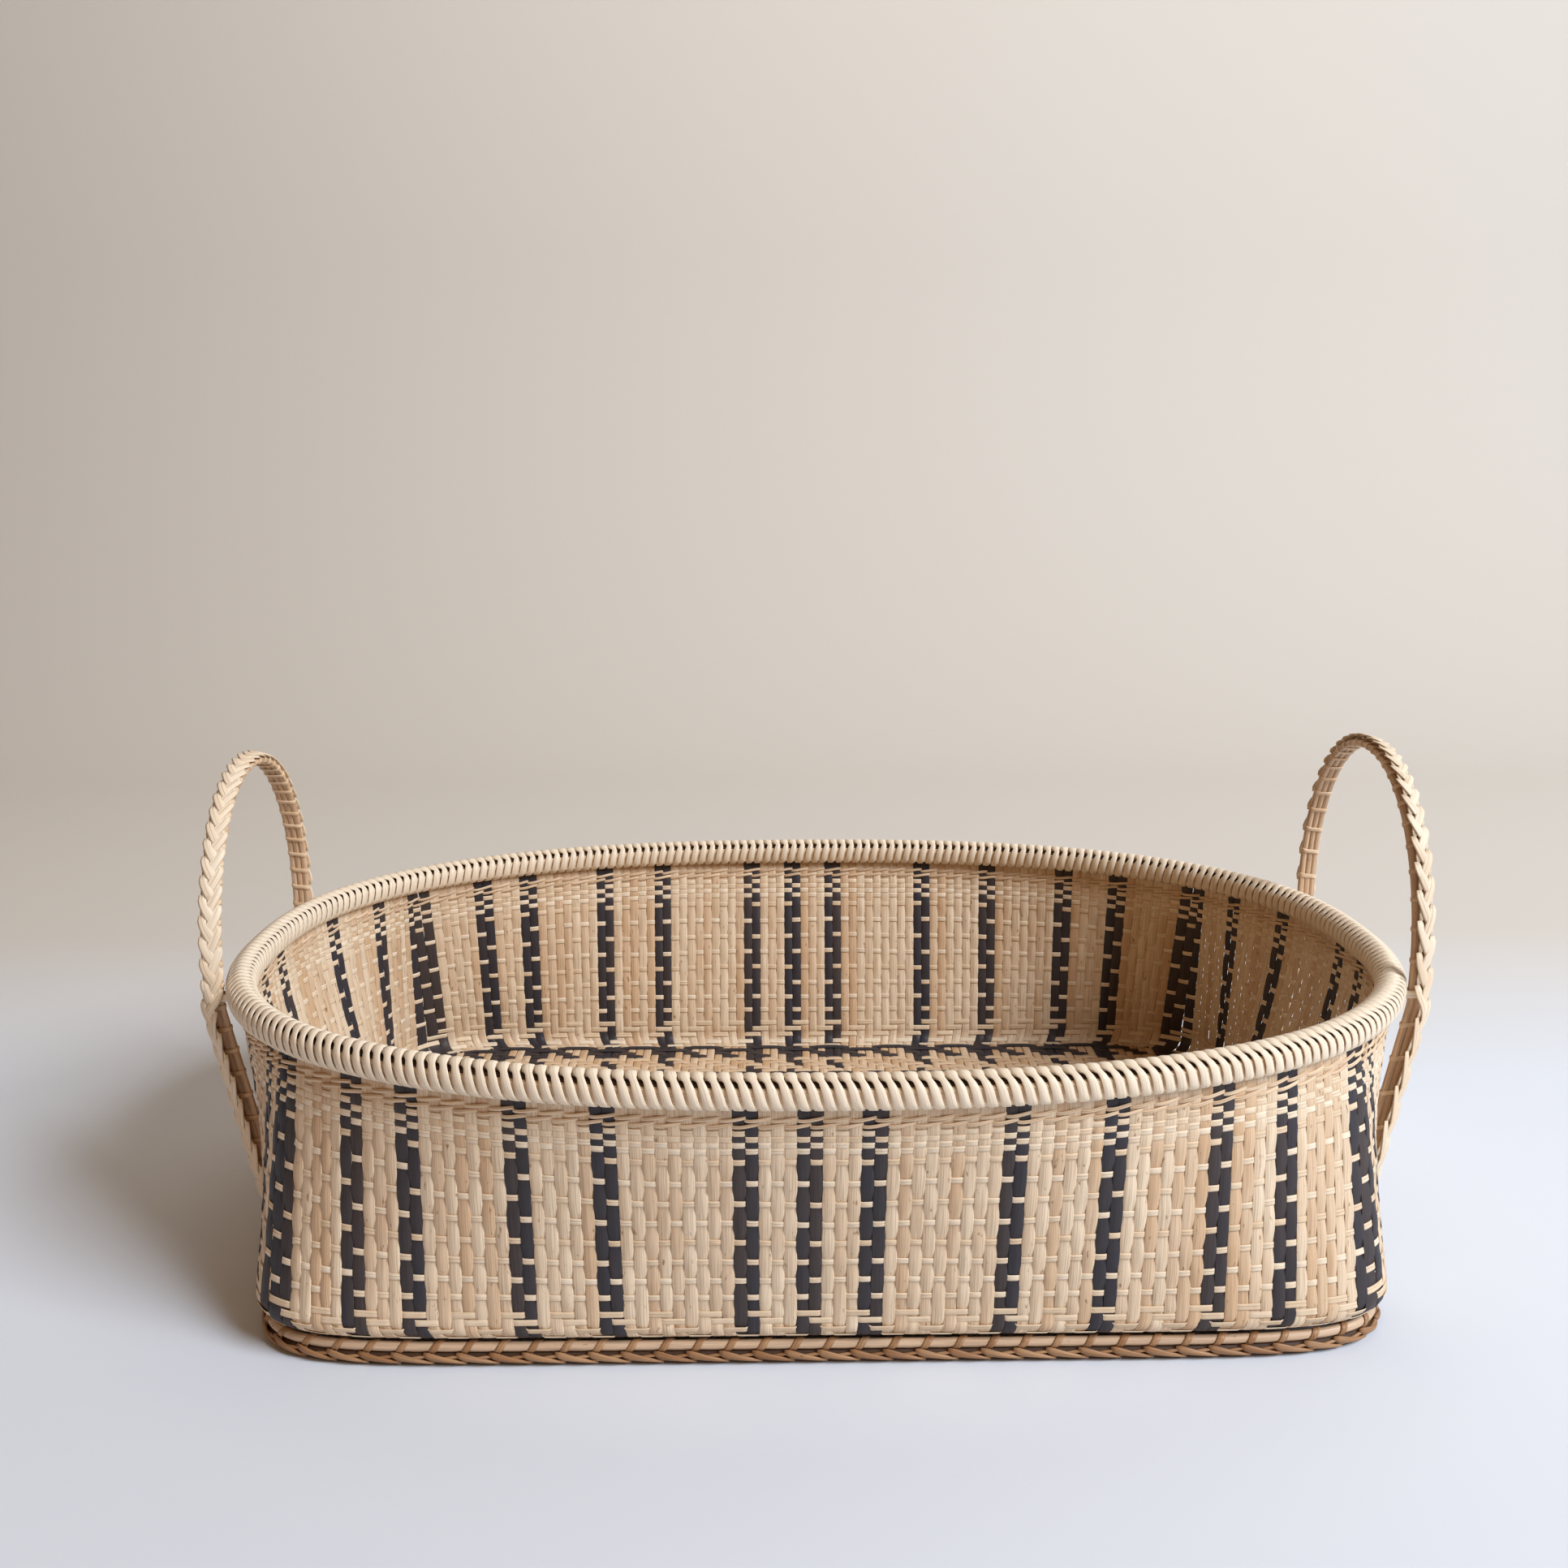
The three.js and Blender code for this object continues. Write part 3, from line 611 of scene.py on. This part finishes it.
def add_floor_strips(name, dyed, axis):
    """The dyed or natural strips that run straight across the basket, axis 0, or along it, axis 1.

    At each crossing they lie as high as floor_sides says. Crossings past the rounded edge of the
    floor are gathered, flat, in the strip's last bit.
    """
    chosen = floor_dyed[axis] == dyed
    places, crossings = floor_places[axis], floor_places[1 - axis]
    sides = floor_sides[axis][chosen]
    reach = across_at(places[chosen], floor_halves[axis], floor_halves[1 - axis], base_squareness)[:, None]
    inner = np.empty(2 * len(crossings) - 1)
    inner[0::2] = crossings
    inner[1::2] = (crossings[1:] + crossings[:-1]) / 2
    held = np.clip(inner, floor_end - reach, reach - floor_end)
    past = inner - held
    run = np.concatenate([-reach, held + past_share * past, reach], axis=1)
    swing = np.zeros_like(run)
    swing[:, 1:-1:2] = sides
    swing[:, 2:-1:2] = (sides[:, 1:] + sides[:, :-1]) / 2
    swing[:, 1:-1] *= past == 0
    fixed = np.broadcast_to(places[chosen][:, None], run.shape)
    x, y = (fixed, run) if axis == 0 else (run, fixed)
    middle = np.stack([x, y, floor_middle + floor_swing * swing], axis=-1)
    outward = np.broadcast_to(upright, middle.shape)
    half_width = np.gradient(places)[chosen, None] / 2 * floor_fill
    numbers = floor_numbers[axis] + np.flatnonzero(chosen)
    return add_strips(name, middle, outward, half_width, floor_thickness / 2, weft_section, numbers)


# The lengthways strips lie the other way at each crossing, and the edge ones bow over their floats
lengthways_side = -floor_side.T
beside = np.roll(lengthways_side, 1, axis=1) + np.roll(lengthways_side, -1, axis=1)
bowed = np.maximum((beside + 2 * lengthways_side) / 4, edge_dip) * edge_lift
floor_sides = (floor_side, np.where(on_edge[:, None], bowed, lengthways_side))
floor_cane = cane_finish(
    "floor_cane", (0.82, 0.62, 0.42), (0.66, 0.43, 0.24), fibre=0.40, fleck=0.5, rough=0.55)
for dyed_name, dyed_wanted, finish, slot in (
        ("natural", False, floor_cane, "floor_strip"),
        ("dyed", True, dyed_cane, "dyed_strip")):
    crossways = add_floor_strips(f"floor_{dyed_name}_crossways", dyed_wanted, axis=0)
    lengthways = add_floor_strips(f"floor_{dyed_name}_lengthways", dyed_wanted, axis=1)
    dress(crossways, finish)
    dress(lengthways, finish)
    if not dyed_wanted:
        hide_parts("base_mat")

# Rim hoops
# Two flat hoops of pale rattan that clamp the ends of the strips from inside and outside.
# They show only between the stitches of the lashing that binds them.
hoop_reach = 4.4
hoop_half_thickness = 2.3
hoop_half_height = 4.8
hoop_middle = wall_top - hoop_half_height
hoop_stations = 420
outline_points = 20001
hoop_number = 1500


def oval_track(half_length, half_width, exponent):
    """A function that gives points and outward directions of a superellipse at lengths along it.

    The outline is r = (|cos/a|^n + |sin/b|^n)^(-1/n) in polar form, measured from the front middle.
    """
    def outline_at(angle):
        cos, sin = np.cos(angle), np.sin(angle)
        total = np.abs(cos / half_length) ** exponent + np.abs(sin / half_width) ** exponent
        radius = total ** (-1 / exponent)
        return radius * cos, radius * sin

    angle = np.linspace(-np.pi / 2, 3 * np.pi / 2, outline_points)
    outline = np.stack(outline_at(angle), axis=-1)
    length = np.append(0, np.cumsum(np.linalg.norm(np.diff(outline, axis=0), axis=-1)))

    def at(place):
        x, y = outline_at(np.interp(np.asarray(place, float) % length[-1], length, angle))
        slope_x = np.sign(x) * np.abs(x / half_length) ** (exponent - 1) / half_length
        slope_y = np.sign(y) * np.abs(y / half_width) ** (exponent - 1) / half_width
        flat = np.zeros_like(x)
        outward = unit(np.stack([slope_x, slope_y, flat], axis=-1))
        return np.stack([x, y, flat], axis=-1), outward

    return at, length[-1]


def add_hoop(name, track, reach, height, half_width, half_thickness, section, number):
    """One hoop along a track's points, reach to their outward side and at a height."""
    point, outward = track
    middle = point + outward * reach + upright * height
    return add_strips(name, middle, outward, half_width, half_thickness, section, [number], closed=True)


rim_at, rim_length = oval_track(rim_half_length, rim_half_width, rim_roundness)
hoop_section = section_of([[-1, -0.6], [-0.8, -1], [0.8, -1], [1, -0.6]])
rim_rattan = cane_finish(
    "rim_rattan", (0.86, 0.69, 0.49), (0.74, 0.54, 0.34), fibre=0.35, fleck=0.4, rough=0.5)
hoop_place = np.linspace(0, rim_length, hoop_stations, endpoint=False)[None, :]
rim_point, rim_outward = rim_track = rim_at(hoop_place)
for name, sign in (("outer", 1), ("inner", -1)):
    hoop = add_hoop(
        f"hoop_{name}", (rim_point, rim_outward * sign), hoop_reach, hoop_middle, hoop_half_height,
        hoop_half_thickness, hoop_section, hoop_number)
    dress(hoop, rim_rattan)
    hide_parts(f"rim_hoop_{name}")

# Rim lashing and ridge
# One long strand of pale peeled cane overcast round both hoops. Each stitch slants down the outer face,
# passes between the strips, climbs the inner face and knots into a ridge on top. Under the ridge lies a
# flat dark core that is painted shade: it fills the cavity between the hoops, so the holes between the
# knots read dark.
stitch_pitch = 5.9
stitch_count = int(round(rim_length / stitch_pitch))
lashing_middle = 150.1
lashing_half_height = 7.5
lashing_reach = 7.7
lashing_roundness = 2.5
stitch_half_thickness = 0.42
stitch_end_widening = 0.15
knot_half_thickness = 1.7
knot_reach = 0.045
stitch_number = 1600
half_shares = np.array([0, 0.03, 0.06, 0.09, 0.13, 0.18, 0.24, 0.31, 0.38, 0.43, 0.47])
stitch_shares = np.concatenate([half_shares, [0.5], 1 - half_shares[:0:-1]])
stitch_half_widths = np.interp(
    stitch_shares,
    (0, 0.03, 0.06, 0.09, 0.18, 0.30, 0.42, 0.50, 0.58, 0.70, 0.82, 0.91, 0.94, 0.97, 1),
    (2.9, 2.7, 1.9, 1.6, 2.0, 2.25, 2.1, 1.2, 2.0, 2.2, 2.0, 1.6, 1.9, 2.7, 2.9))
stitch_advance = np.interp(
    stitch_shares, (0, 0.10, 0.20, 0.45, 0.55, 0.90, 1), (0, 0.38, 0.66, 1.30, 1.36, 0.68, 1))
stitch_start = np.repeat(np.arange(stitch_count), len(stitch_shares))
wrap_share = np.tile(stitch_shares, stitch_count)
wrap_angle = np.pi / 2 - 2 * np.pi * wrap_share
wrap_cos, wrap_sin = np.cos(wrap_angle), np.sin(wrap_angle)
wrap_out = lashing_reach * boxed(wrap_cos, lashing_roundness)
wrap_up = lashing_half_height * boxed(wrap_sin, lashing_roundness)
wrap_place = (stitch_start + np.tile(stitch_advance, stitch_count)) * rim_length / stitch_count
wrap_point, wrap_outward = rim_at(wrap_place)
stitch_middle = wrap_point + wrap_outward * wrap_out[:, None]
stitch_middle = stitch_middle + upright * (lashing_middle + wrap_up)[:, None]
stitch_face = wrap_outward * wrap_cos[:, None] + upright * wrap_sin[:, None]
widening = 1 + stitch_end_widening * (wrap_point[:, 0] / rim_half_length) ** 2
wrap_half_width = np.tile(stitch_half_widths, stitch_count) * widening
knot = np.exp(-(np.minimum(wrap_share, 1 - wrap_share) / knot_reach) ** 2)
wrap_half_thickness = stitch_half_thickness + (knot_half_thickness - stitch_half_thickness) * knot
peeled_cane = cane_finish(
    "peeled_cane", (0.94, 0.83, 0.66), (0.87, 0.72, 0.54), fibre=0.24, fleck=0.2, rough=0.4, crease_shade=0.5)
lashing = add_strips(
    "rim_stitches", stitch_middle[None], stitch_face[None], wrap_half_width[None],
    wrap_half_thickness[None], flat_section, [stitch_number], closed=True)
dress(lashing, peeled_cane)
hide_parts("rim_lashing")

# The ridge core is painted shade, not cane: a flat near-black sheet in the cavity under the knots and over
# the hoop tops
ridge_core_height = 154.4
ridge_core_half_width = 5.2
ridge_core_half_height = 1.2
cord_height = 155.8
cord_radius = 1.2
round_sides = 10
round_angle = np.arange(round_sides) * 2 * np.pi / round_sides
round_section = np.stack([np.cos(round_angle), np.sin(round_angle)], axis=-1)
# A near-black brown that is painted shade: the cores below take it to stand for shadowed cavities, not for
# a dark cane
painted_shade_brown = cane_finish(
    "painted_shade_brown", (0.09, 0.043, 0.02), (0.05, 0.021, 0.009), fibre=0.4, fleck=0.0, rough=0.6)
ridge_shade_fill = add_hoop(
    "ridge_shade_fill", rim_track, 0, ridge_core_height, ridge_core_half_height, ridge_core_half_width,
    round_section, stitch_number + 1)
dress(ridge_shade_fill, painted_shade_brown)
cord = add_hoop(
    "ridge_cord", rim_track, 0, cord_height, cord_radius, cord_radius, round_section, stitch_number + 2)
dress(cord, peeled_cane)
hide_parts("rim_ridge")

# Foot rod
# A round tan rattan rod bent round under the wall, whose lower edge sits on it.
# The straps of the foot plait hold it on.
foot_half_length = 281.7
foot_half_width = 186.7
foot_rod_radius = 2.4
foot_rod_middle = 9.2
foot_stations = 480
foot_rod_number = 1700
foot_at, foot_length = oval_track(foot_half_length, foot_half_width, base_squareness)
foot_place = np.linspace(0, foot_length, foot_stations, endpoint=False)[None, :]
foot_track = foot_at(foot_place)
rod_rattan = cane_finish(
    "rod_rattan", (0.68, 0.49, 0.33), (0.52, 0.34, 0.21), fibre=0.35, fleck=0.6, rough=0.45)
foot_rod = add_hoop(
    "foot_rod_bare", foot_track, 0, foot_rod_middle, foot_rod_radius, foot_rod_radius, round_section,
    foot_rod_number)
dress(foot_rod, rod_rattan)
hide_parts("foot_rod")

# Foot plait
# Golden-brown cane that straps the rod at every thumb's width and is plaited below it into a chain of
# leaf-shaped loops round a core. The cane's tone is partly its own golden brown and partly painted shade,
# darkened for the shade under the wall's overhang, and the core is near-black as painted shade for the
# shadowed gaps under and between the loops. The basket stands on this chain.
strap_pitch = 15.7
strap_count = int(round(foot_length / strap_pitch))
strap_half_width = 1.65
strap_half_thickness = 0.35
strap_stations = 8
strap_angles = (150, -80)
strap_places = (4.6, -1.8)
strap_number = 1800
strap_start = np.arange(strap_count)[:, None] * foot_length / strap_count
strap_angle = np.radians(np.linspace(*strap_angles, strap_stations))[None, :, None]
strap_cos, strap_sin = np.cos(strap_angle), np.sin(strap_angle)
strap_slant = np.linspace(*strap_places, strap_stations)[None, :]
strap_reach = foot_rod_radius + strap_half_thickness
strap_point, strap_outward = foot_at(strap_start + strap_slant)
strap_middle = strap_point + strap_outward * strap_reach * strap_cos
strap_middle = strap_middle + upright * (foot_rod_middle + strap_reach * strap_sin)
strap_face = strap_outward * strap_cos + upright * strap_sin
# This tone is partly the cane's own golden brown and partly painted shade: it is darker for the shade under
# the wall's overhang
foot_cane = cane_finish(
    "foot_cane", (0.45, 0.26, 0.13), (0.30, 0.14, 0.056), fibre=0.45, fleck=0.6, rough=0.42)
straps = add_strips(
    "foot_straps", strap_middle, strap_face, strap_half_width, strap_half_thickness, weft_section,
    strap_number + np.arange(strap_count))
dress(straps, foot_cane)

# Each leaf falls from under its strap to the ground, and a thinner one climbs behind it
leaf_length = 20.5
leaf_stations = 9
leaf_lead = 4.5
leaf_half_thickness = 0.85
leaf_reach = 2.5
leaf_bulge = 1.2
leaf_fullness = 0.8
leaf_top = 6.4
leaf_fall = 4.3
under_reach = 2.4
under_bulge = 0.4
under_bottom = 2.6
under_climb = 3.8
leaf_number = 1900
leaf_section = section_of([[-1, 0], [-0.66, -0.8], [0, -1], [0.66, -0.8]])
leaf_share = np.linspace(0, 1, leaf_stations)[None, :]
leaf_shape = np.interp(leaf_share, (0, 0.1, 0.3, 0.7, 1), (1.3, 1.9, 1.8, 1.05, 0.3))
leaf_out = leaf_reach + leaf_bulge * np.sin(np.pi * leaf_share ** leaf_fullness)
leaf_up = leaf_top - leaf_fall * leaf_share
under_shape = np.interp(leaf_share, (0, 0.3, 0.7, 1), (0.3, 0.8, 0.8, 0.4))
under_out = under_reach + under_bulge * np.sin(np.pi * leaf_share)
under_up = under_bottom + under_climb * leaf_share
leaf_point, leaf_outward = foot_at(strap_start - leaf_lead + leaf_length * leaf_share)
for name, sign in (("outer", 1), ("inner", -1)):
    for layer, shape, out, up in (
            ("leaves", leaf_shape, leaf_out, leaf_up),
            ("under_leaves", under_shape, under_out, under_up)):
        leaf_middle = leaf_point + leaf_outward * (sign * out)[..., None] + upright * up[..., None]
        leaves = add_strips(
            f"foot_{layer}_{name}", leaf_middle, leaf_outward * sign, shape, leaf_half_thickness,
            leaf_section, leaf_number + np.arange(strap_count))
        dress(leaves, foot_cane)
        if name == "outer" and layer == "leaves":
            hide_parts("foot_plait")

# The plait core is near-black as painted shade: it fills the shadowed gaps under and between the leaves
# down to the floor
plait_core_middle = 3.4
plait_core_half_height = 3.3
plait_core_half_width = 2.3
plait_core_number = 1950
plait_core = add_hoop(
    "foot_plait_core", foot_track, 0, plait_core_middle, plait_core_half_height, plait_core_half_width,
    round_section, plait_core_number)
dress(plait_core, painted_shade_brown)

# Handle rods
# Three splits of tan rattan abreast, bent by hand into an arch across each end of the basket.
# Their legs run down outside the rim and the end wall nearly to the foot.
split_count = 3
split_radius = 1.55
split_pitch = 3.4
split_flat = split_radius * np.cos(np.pi / 6)
leg_end = 20.0
leg_points = 60
arch_bottom = 158.8
arch_roundness = 2.07
arch_points = 400
rod_stations = 150
lashing_bottom = 141.5
rod_number = 2000
long_axis = np.array([1.0, 0.0, 0.0])


def handle_track(end_name):
    """A function that gives points, ways forward and ways off the arch along a handle.

    The line is two straight legs joined by a half superellipse in the plane of the legs, as the CAD
    node of the middle rod has it. Places are millimetres from the front leg's end.
    """
    low, high = (np.array(corner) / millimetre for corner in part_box(f"handle_{end_name}_rod_2"))
    end = np.sign(high[0] + low[0])
    leg_x_end, leg_x_rim = np.sort(np.abs([low[0], high[0]])) + np.array([1, -1]) * split_radius
    leg_y = high[1] - split_flat
    arch_rise = high[2] - split_flat - arch_bottom
    leg = np.linspace(leg_end, arch_bottom, leg_points, endpoint=False)
    angle = np.linspace(0, np.pi, arch_points)
    arch_y = -leg_y * boxed(np.cos(angle), arch_roundness)
    arch_z = arch_bottom + arch_rise * boxed(np.sin(angle), arch_roundness)
    y = np.concatenate([np.full(leg_points, -leg_y), arch_y, np.full(leg_points, leg_y)])
    z = np.concatenate([leg, arch_z, leg[::-1]])
    share = np.minimum(1, (z - leg_end) / (lashing_bottom - leg_end))
    x = end * (leg_x_end + (leg_x_rim - leg_x_end) * share)
    line = np.stack([x, y, z], axis=-1)
    length = np.append(0, np.cumsum(np.linalg.norm(np.diff(line, axis=0), axis=-1)))

    def line_at(place):
        return np.stack([np.interp(place, length, line[:, axis]) for axis in range(3)], axis=-1)

    def at(place):
        step = 2.0
        ahead = line_at(np.minimum(place + step, length[-1]))
        behind = line_at(np.maximum(place - step, 0))
        forward = unit(ahead - behind)
        flat = np.zeros(forward.shape[:-1])
        away = unit(np.stack([flat, -forward[..., 2], forward[..., 1]], axis=-1))
        return line_at(place), forward, away

    return at, length[-1], end


rod_section = section_of([[-1, -0.6], [-0.75, -0.95], [0, -1], [0.75, -0.95], [1, -0.6]])
handle_rattan = cane_finish(
    "handle_rattan", (0.76, 0.54, 0.35), (0.60, 0.38, 0.215), fibre=0.55, fleck=0.4, rough=0.45)
handle_tracks = {"left": handle_track("left"), "right": handle_track("right")}
for end_name, (handle_at, handle_length, end) in handle_tracks.items():
    rod_point, _, rod_away = handle_at(np.linspace(0, handle_length, rod_stations)[None, :])
    for rod in range(split_count):
        beside = (rod - 1) * split_pitch * end
        rod_piece = add_strips(
            f"handle_{end_name}_split_{rod + 1}", rod_point + long_axis * beside, rod_away,
            split_pitch / 2, split_radius, rod_section, [rod_number + rod])
        dress(rod_piece, handle_rattan)
        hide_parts(f"handle_{end_name}_rod_{rod + 1}")

# Handle bands and plait
# Pale peeled cane passed round the three splits in bands, which lie wider apart on the right handle, and
# plaited into a fishbone of overlapping slanting leaves on the arch's back, turned outwards below the rim.
band_pitches = {"left": 10.8, "right": 14.6}
band_gathers = {"left": 0.25, "right": 0.45}
band_half_width = 1.35
band_half_thickness = 0.35
band_roundness = 4.0
band_slant = 1.0
band_sides = 14
bundle_half_width = split_count * split_pitch / 2
band_room_across = 0.3
band_room_away = 0.4
band_reach_across = bundle_half_width + band_room_across
band_reach_away = split_radius + band_room_away
band_number = 2100
leg_stations = 200
collar_height = 147.5
collar_half_width = 2.2
collar_half_thickness = 0.5
collar_reach = 1.4
collar_lift = 0.8
collar_numbers = [2200, 2201]
plait_spans = {"left": 1.9, "right": 1.5}
plait_widest = 2.75
plait_half_thickness = 0.5
plait_turn_above = np.radians(15)
plait_turn_below = np.radians(38)
plait_turn_height = 25.0
plait_edge_share = 0.8
plait_lift = 0.5
plait_bulge = 1.3
plait_fullness = 0.8
plait_from = 2.9
plait_swing = 6.9
plait_number = 2300
band_angle = np.arange(band_sides) * 2 * np.pi / band_sides
band_cos, band_sin = np.cos(band_angle), np.sin(band_angle)
band_across = band_reach_across * boxed(band_cos, band_roundness)
band_away = band_reach_away * boxed(band_sin, band_roundness)
plait_share = leaf_share[0]
plait_width_share = np.interp(plait_share, (0, 0.15, 0.5, 0.85, 1), (0.4, 0.75, 1.0, 0.95, 0.6))
plait_half_width = plait_widest * plait_width_share
band_cane = cane_finish(
    "band_cane", (0.82, 0.62, 0.41), (0.70, 0.47, 0.27), fibre=0.3, fleck=0.3, rough=0.42)


def gathered(share, length, gather):
    """Millimetres along a handle at a share of its bands, which gather closest at the top."""
    return length * (share + gather * np.sin(2 * np.pi * share) / (2 * np.pi))


def ring_round(handle_at, places, across, away):
    """Middles and faces of rings round the three splits, at across and away from the handle's line."""
    point, _, out = handle_at(places)
    middle = point + long_axis * across[:, None] + out * away[:, None]
    return middle, long_axis * band_cos[:, None] + out * band_sin[:, None]


for end_name, (handle_at, handle_length, end) in handle_tracks.items():
    band_gather = band_gathers[end_name]
    band_count = int(handle_length / band_pitches[end_name])
    band_order = np.arange(band_count)
    band_start = gathered((band_order + 0.5)[:, None] / band_count, handle_length, band_gather)
    band_place = band_start + band_slant * band_cos
    band_middle, band_face = ring_round(handle_at, band_place, band_across, band_away)
    bands = add_strips(
        f"handle_{end_name}_bands", band_middle, band_face, band_half_width, band_half_thickness,
        weft_section, band_number + band_order, closed=True)
    dress(bands, band_cane)

    # A broader band at the rim ties each leg to it
    leg_place = np.linspace(0, handle_length / 2, leg_stations)
    leg_height = handle_at(leg_place)[0][:, 2]
    front_place = np.interp(collar_height, leg_height, leg_place)
    collar_place = np.repeat([[front_place], [handle_length - front_place]], band_sides, axis=1)
    collar_across = band_across * (1 + collar_reach / band_reach_across) - end * collar_reach
    collar_away = band_away * (1 + collar_lift / band_reach_away)
    collar_middle, collar_face = ring_round(handle_at, collar_place, collar_across, collar_away)
    collars = add_strips(
        f"handle_{end_name}_collars", collar_middle, collar_face, collar_half_width,
        collar_half_thickness, weft_section, collar_numbers, closed=True)
    dress(collars, peeled_cane)

    # Each leaf of the plait crosses the arch's back from one edge to the other
    plait_span = plait_spans[end_name] / band_count
    for name, sign, start in (("near", 1, 0.0), ("far", -1, 0.5)):
        plait_start = (band_order + start + 0.5) / band_count - plait_span / 2
        plait_start = np.clip(plait_start, 0, 1 - plait_span)[:, None]
        plait_place = gathered(plait_start + plait_share * plait_span, handle_length, band_gather)
        plait_point, plait_forward, plait_away = handle_at(plait_place)
        below = ease((arch_bottom - plait_point[..., 2]) / plait_turn_height)
        turned = plait_turn_above * (1 - below) + end * plait_turn_below * below
        facing = plait_away * np.cos(turned)[..., None] + long_axis * np.sin(turned)[..., None]
        sideways = np.cross(facing, plait_forward)
        lift = split_radius * np.cos(turned)
        lift = lift + bundle_half_width * np.abs(np.sin(turned)) * plait_edge_share
        lift = lift + plait_lift + plait_bulge * np.sin(np.pi * (1 - plait_share) ** plait_fullness)
        plait_side = sign * (plait_from - plait_swing * ease(plait_share))
        plait_middle = plait_point + sideways * plait_side[:, None] + facing * lift[..., None]
        plait = add_strips(
            f"handle_{end_name}_plait_{name}", plait_middle, facing, plait_half_width,
            plait_half_thickness, leaf_section, plait_number + band_order)
        dress(plait, weft_cane)
        if sign == 1:
            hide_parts(f"handle_{end_name}_plait")

# Stage
# A plain pale floor, cool under the basket and warm behind it, that curves up into a backdrop. A large
# soft lamp shines from the right, a weak warm one from the left front and one on the backdrop.
floor_front = -3.0
floor_back = 1.2
floor_width = 6.0
backdrop_radius = 0.8
backdrop_top = 4.0
backdrop_back = floor_back + backdrop_radius
backdrop_steps = 24
cool_floor = (0.75, 0.79, 0.85, 1)
warm_backdrop = (0.69, 0.65, 0.59, 1)
warming_ends = (0.15, 0.5)
paint_roughness = 0.8
sweep = np.linspace(0, np.pi / 2, backdrop_steps)
profile_y = np.concatenate([[floor_front], floor_back + backdrop_radius * np.sin(sweep), [backdrop_back]])
profile_z = np.concatenate([[0], backdrop_radius * (1 - np.cos(sweep)), [backdrop_top]])
profile = np.stack([0 * profile_y, profile_y, profile_z], axis=-1)
stage_points = profile[:, None] + np.array([[-floor_width], [floor_width]]) * long_axis
stage_index = np.arange(2 * len(profile)).reshape(-1, 2)
stage_faces = np.concatenate([stage_index[:-1], stage_index[1:, ::-1]], axis=1)
stage_mesh = bpy.data.meshes.new("stage_floor")
stage_mesh.from_pydata(stage_points.reshape(-1, 3).tolist(), [], stage_faces.tolist())
stage_mesh.shade_smooth()
stage = stand("stage_floor", stage_mesh)
stage_paint = bpy.data.materials.new("stage_paint")
stage_paint.use_nodes = True
stage_tree = stage_paint.node_tree
stage_shader = stage_tree.nodes["Principled BSDF"]
stage_shader.inputs["Roughness"].default_value = paint_roughness
stage_link = stage_tree.links.new
stage_place = add_node(stage_tree, "TexCoord")
stage_split = add_node(stage_tree, "SeparateXYZ")
stage_warming = add_node(stage_tree, "MapRange", zip(("From Min", "From Max"), warming_ends))
stage_colours = [(first_colour, cool_floor), (second_colour, warm_backdrop)]
stage_mix = add_node(stage_tree, "Mix", stage_colours, data_type="RGBA")
stage_link(stage_place.outputs["Object"], stage_split.inputs["Vector"])
stage_link(stage_split.outputs["Y"], stage_warming.inputs["Value"])
stage_link(stage_warming.outputs["Result"], stage_mix.inputs["Factor"])
stage_link(stage_mix.outputs[mixed_colour], stage_shader.inputs["Base Color"])
stage_mesh.materials.append(stage_paint)

# The surround gives a little warm light, and the camera sees it as a plain pale grey
warm_light_colour = (1.0, 0.62, 0.33, 1)
warm_light_strength = 0.1
pale_view_colour = (0.62, 0.62, 0.62, 1)
surround = bpy.data.worlds.new("surround")
surround.use_nodes = True
surround_tree = surround.node_tree
surround_link = surround_tree.links.new
warm_light = surround_tree.nodes["Background"]
warm_light.inputs["Color"].default_value = warm_light_colour
warm_light.inputs["Strength"].default_value = warm_light_strength
pale_view = add_node(surround_tree, "Background", [("Color", pale_view_colour)])
light_path = add_node(surround_tree, "LightPath")
surround_mix = add_node(surround_tree, "MixShader")
surround_link(light_path.outputs["Is Camera Ray"], surround_mix.inputs["Fac"])
surround_link(warm_light.outputs["Background"], surround_mix.inputs[1])
surround_link(pale_view.outputs["Background"], surround_mix.inputs[2])
surround_link(surround_mix.outputs["Shader"], surround_tree.nodes["World Output"].inputs["Surface"])
bpy.context.scene.world = surround


def add_lamp(name, place, aim, size, power, colour):
    """A square soft lamp at a place, turned to face another."""
    light = bpy.data.lights.new(name, "AREA")
    light.size = size
    light.energy = power
    light.color = colour
    lamp = stand(name, light)
    lamp.location = place
    direction = np.array(aim) - np.array(place)
    flat = np.hypot(direction[0], direction[1])
    lamp.rotation_euler = (np.arctan2(flat, -direction[2]), 0, np.arctan2(-direction[0], direction[1]))


basket_middle = (0, 0, 0.1)
backdrop_middle = (0, 2.0, 0.8)
add_lamp("key_lamp", (2.97, -1.93, 2.83), basket_middle, size=2.0, power=236, colour=(0.91, 0.97, 1.06))
add_lamp("fill_lamp", (-1.2, -2.2, 1.3), basket_middle, size=2.0, power=8, colour=(1.0, 0.58, 0.28))
add_lamp("backdrop_lamp", (0, 0.9, 2.4), backdrop_middle, size=1.5, power=9, colour=(1.0, 0.88, 0.74))

# The camera stands where the photograph was taken from, with its angle of view
image_size = 1932.0
focal_pixels = 1843.92
camera_place = (-0.0287, -0.8353, 0.4183)
camera_yaw = -0.0140
camera_pitch = 0.2048
camera_roll = 0.002
camera_data = bpy.data.cameras.new("photo_camera")
camera_data.sensor_width = 36.0
camera_data.lens = focal_pixels / image_size * camera_data.sensor_width
camera = stand("photo_camera", camera_data)
camera.location = camera_place
camera.rotation_euler = (np.pi / 2 - camera_pitch, camera_roll, camera_yaw)
bpy.context.scene.camera = camera
bpy.context.scene.view_settings.view_transform = "Standard"
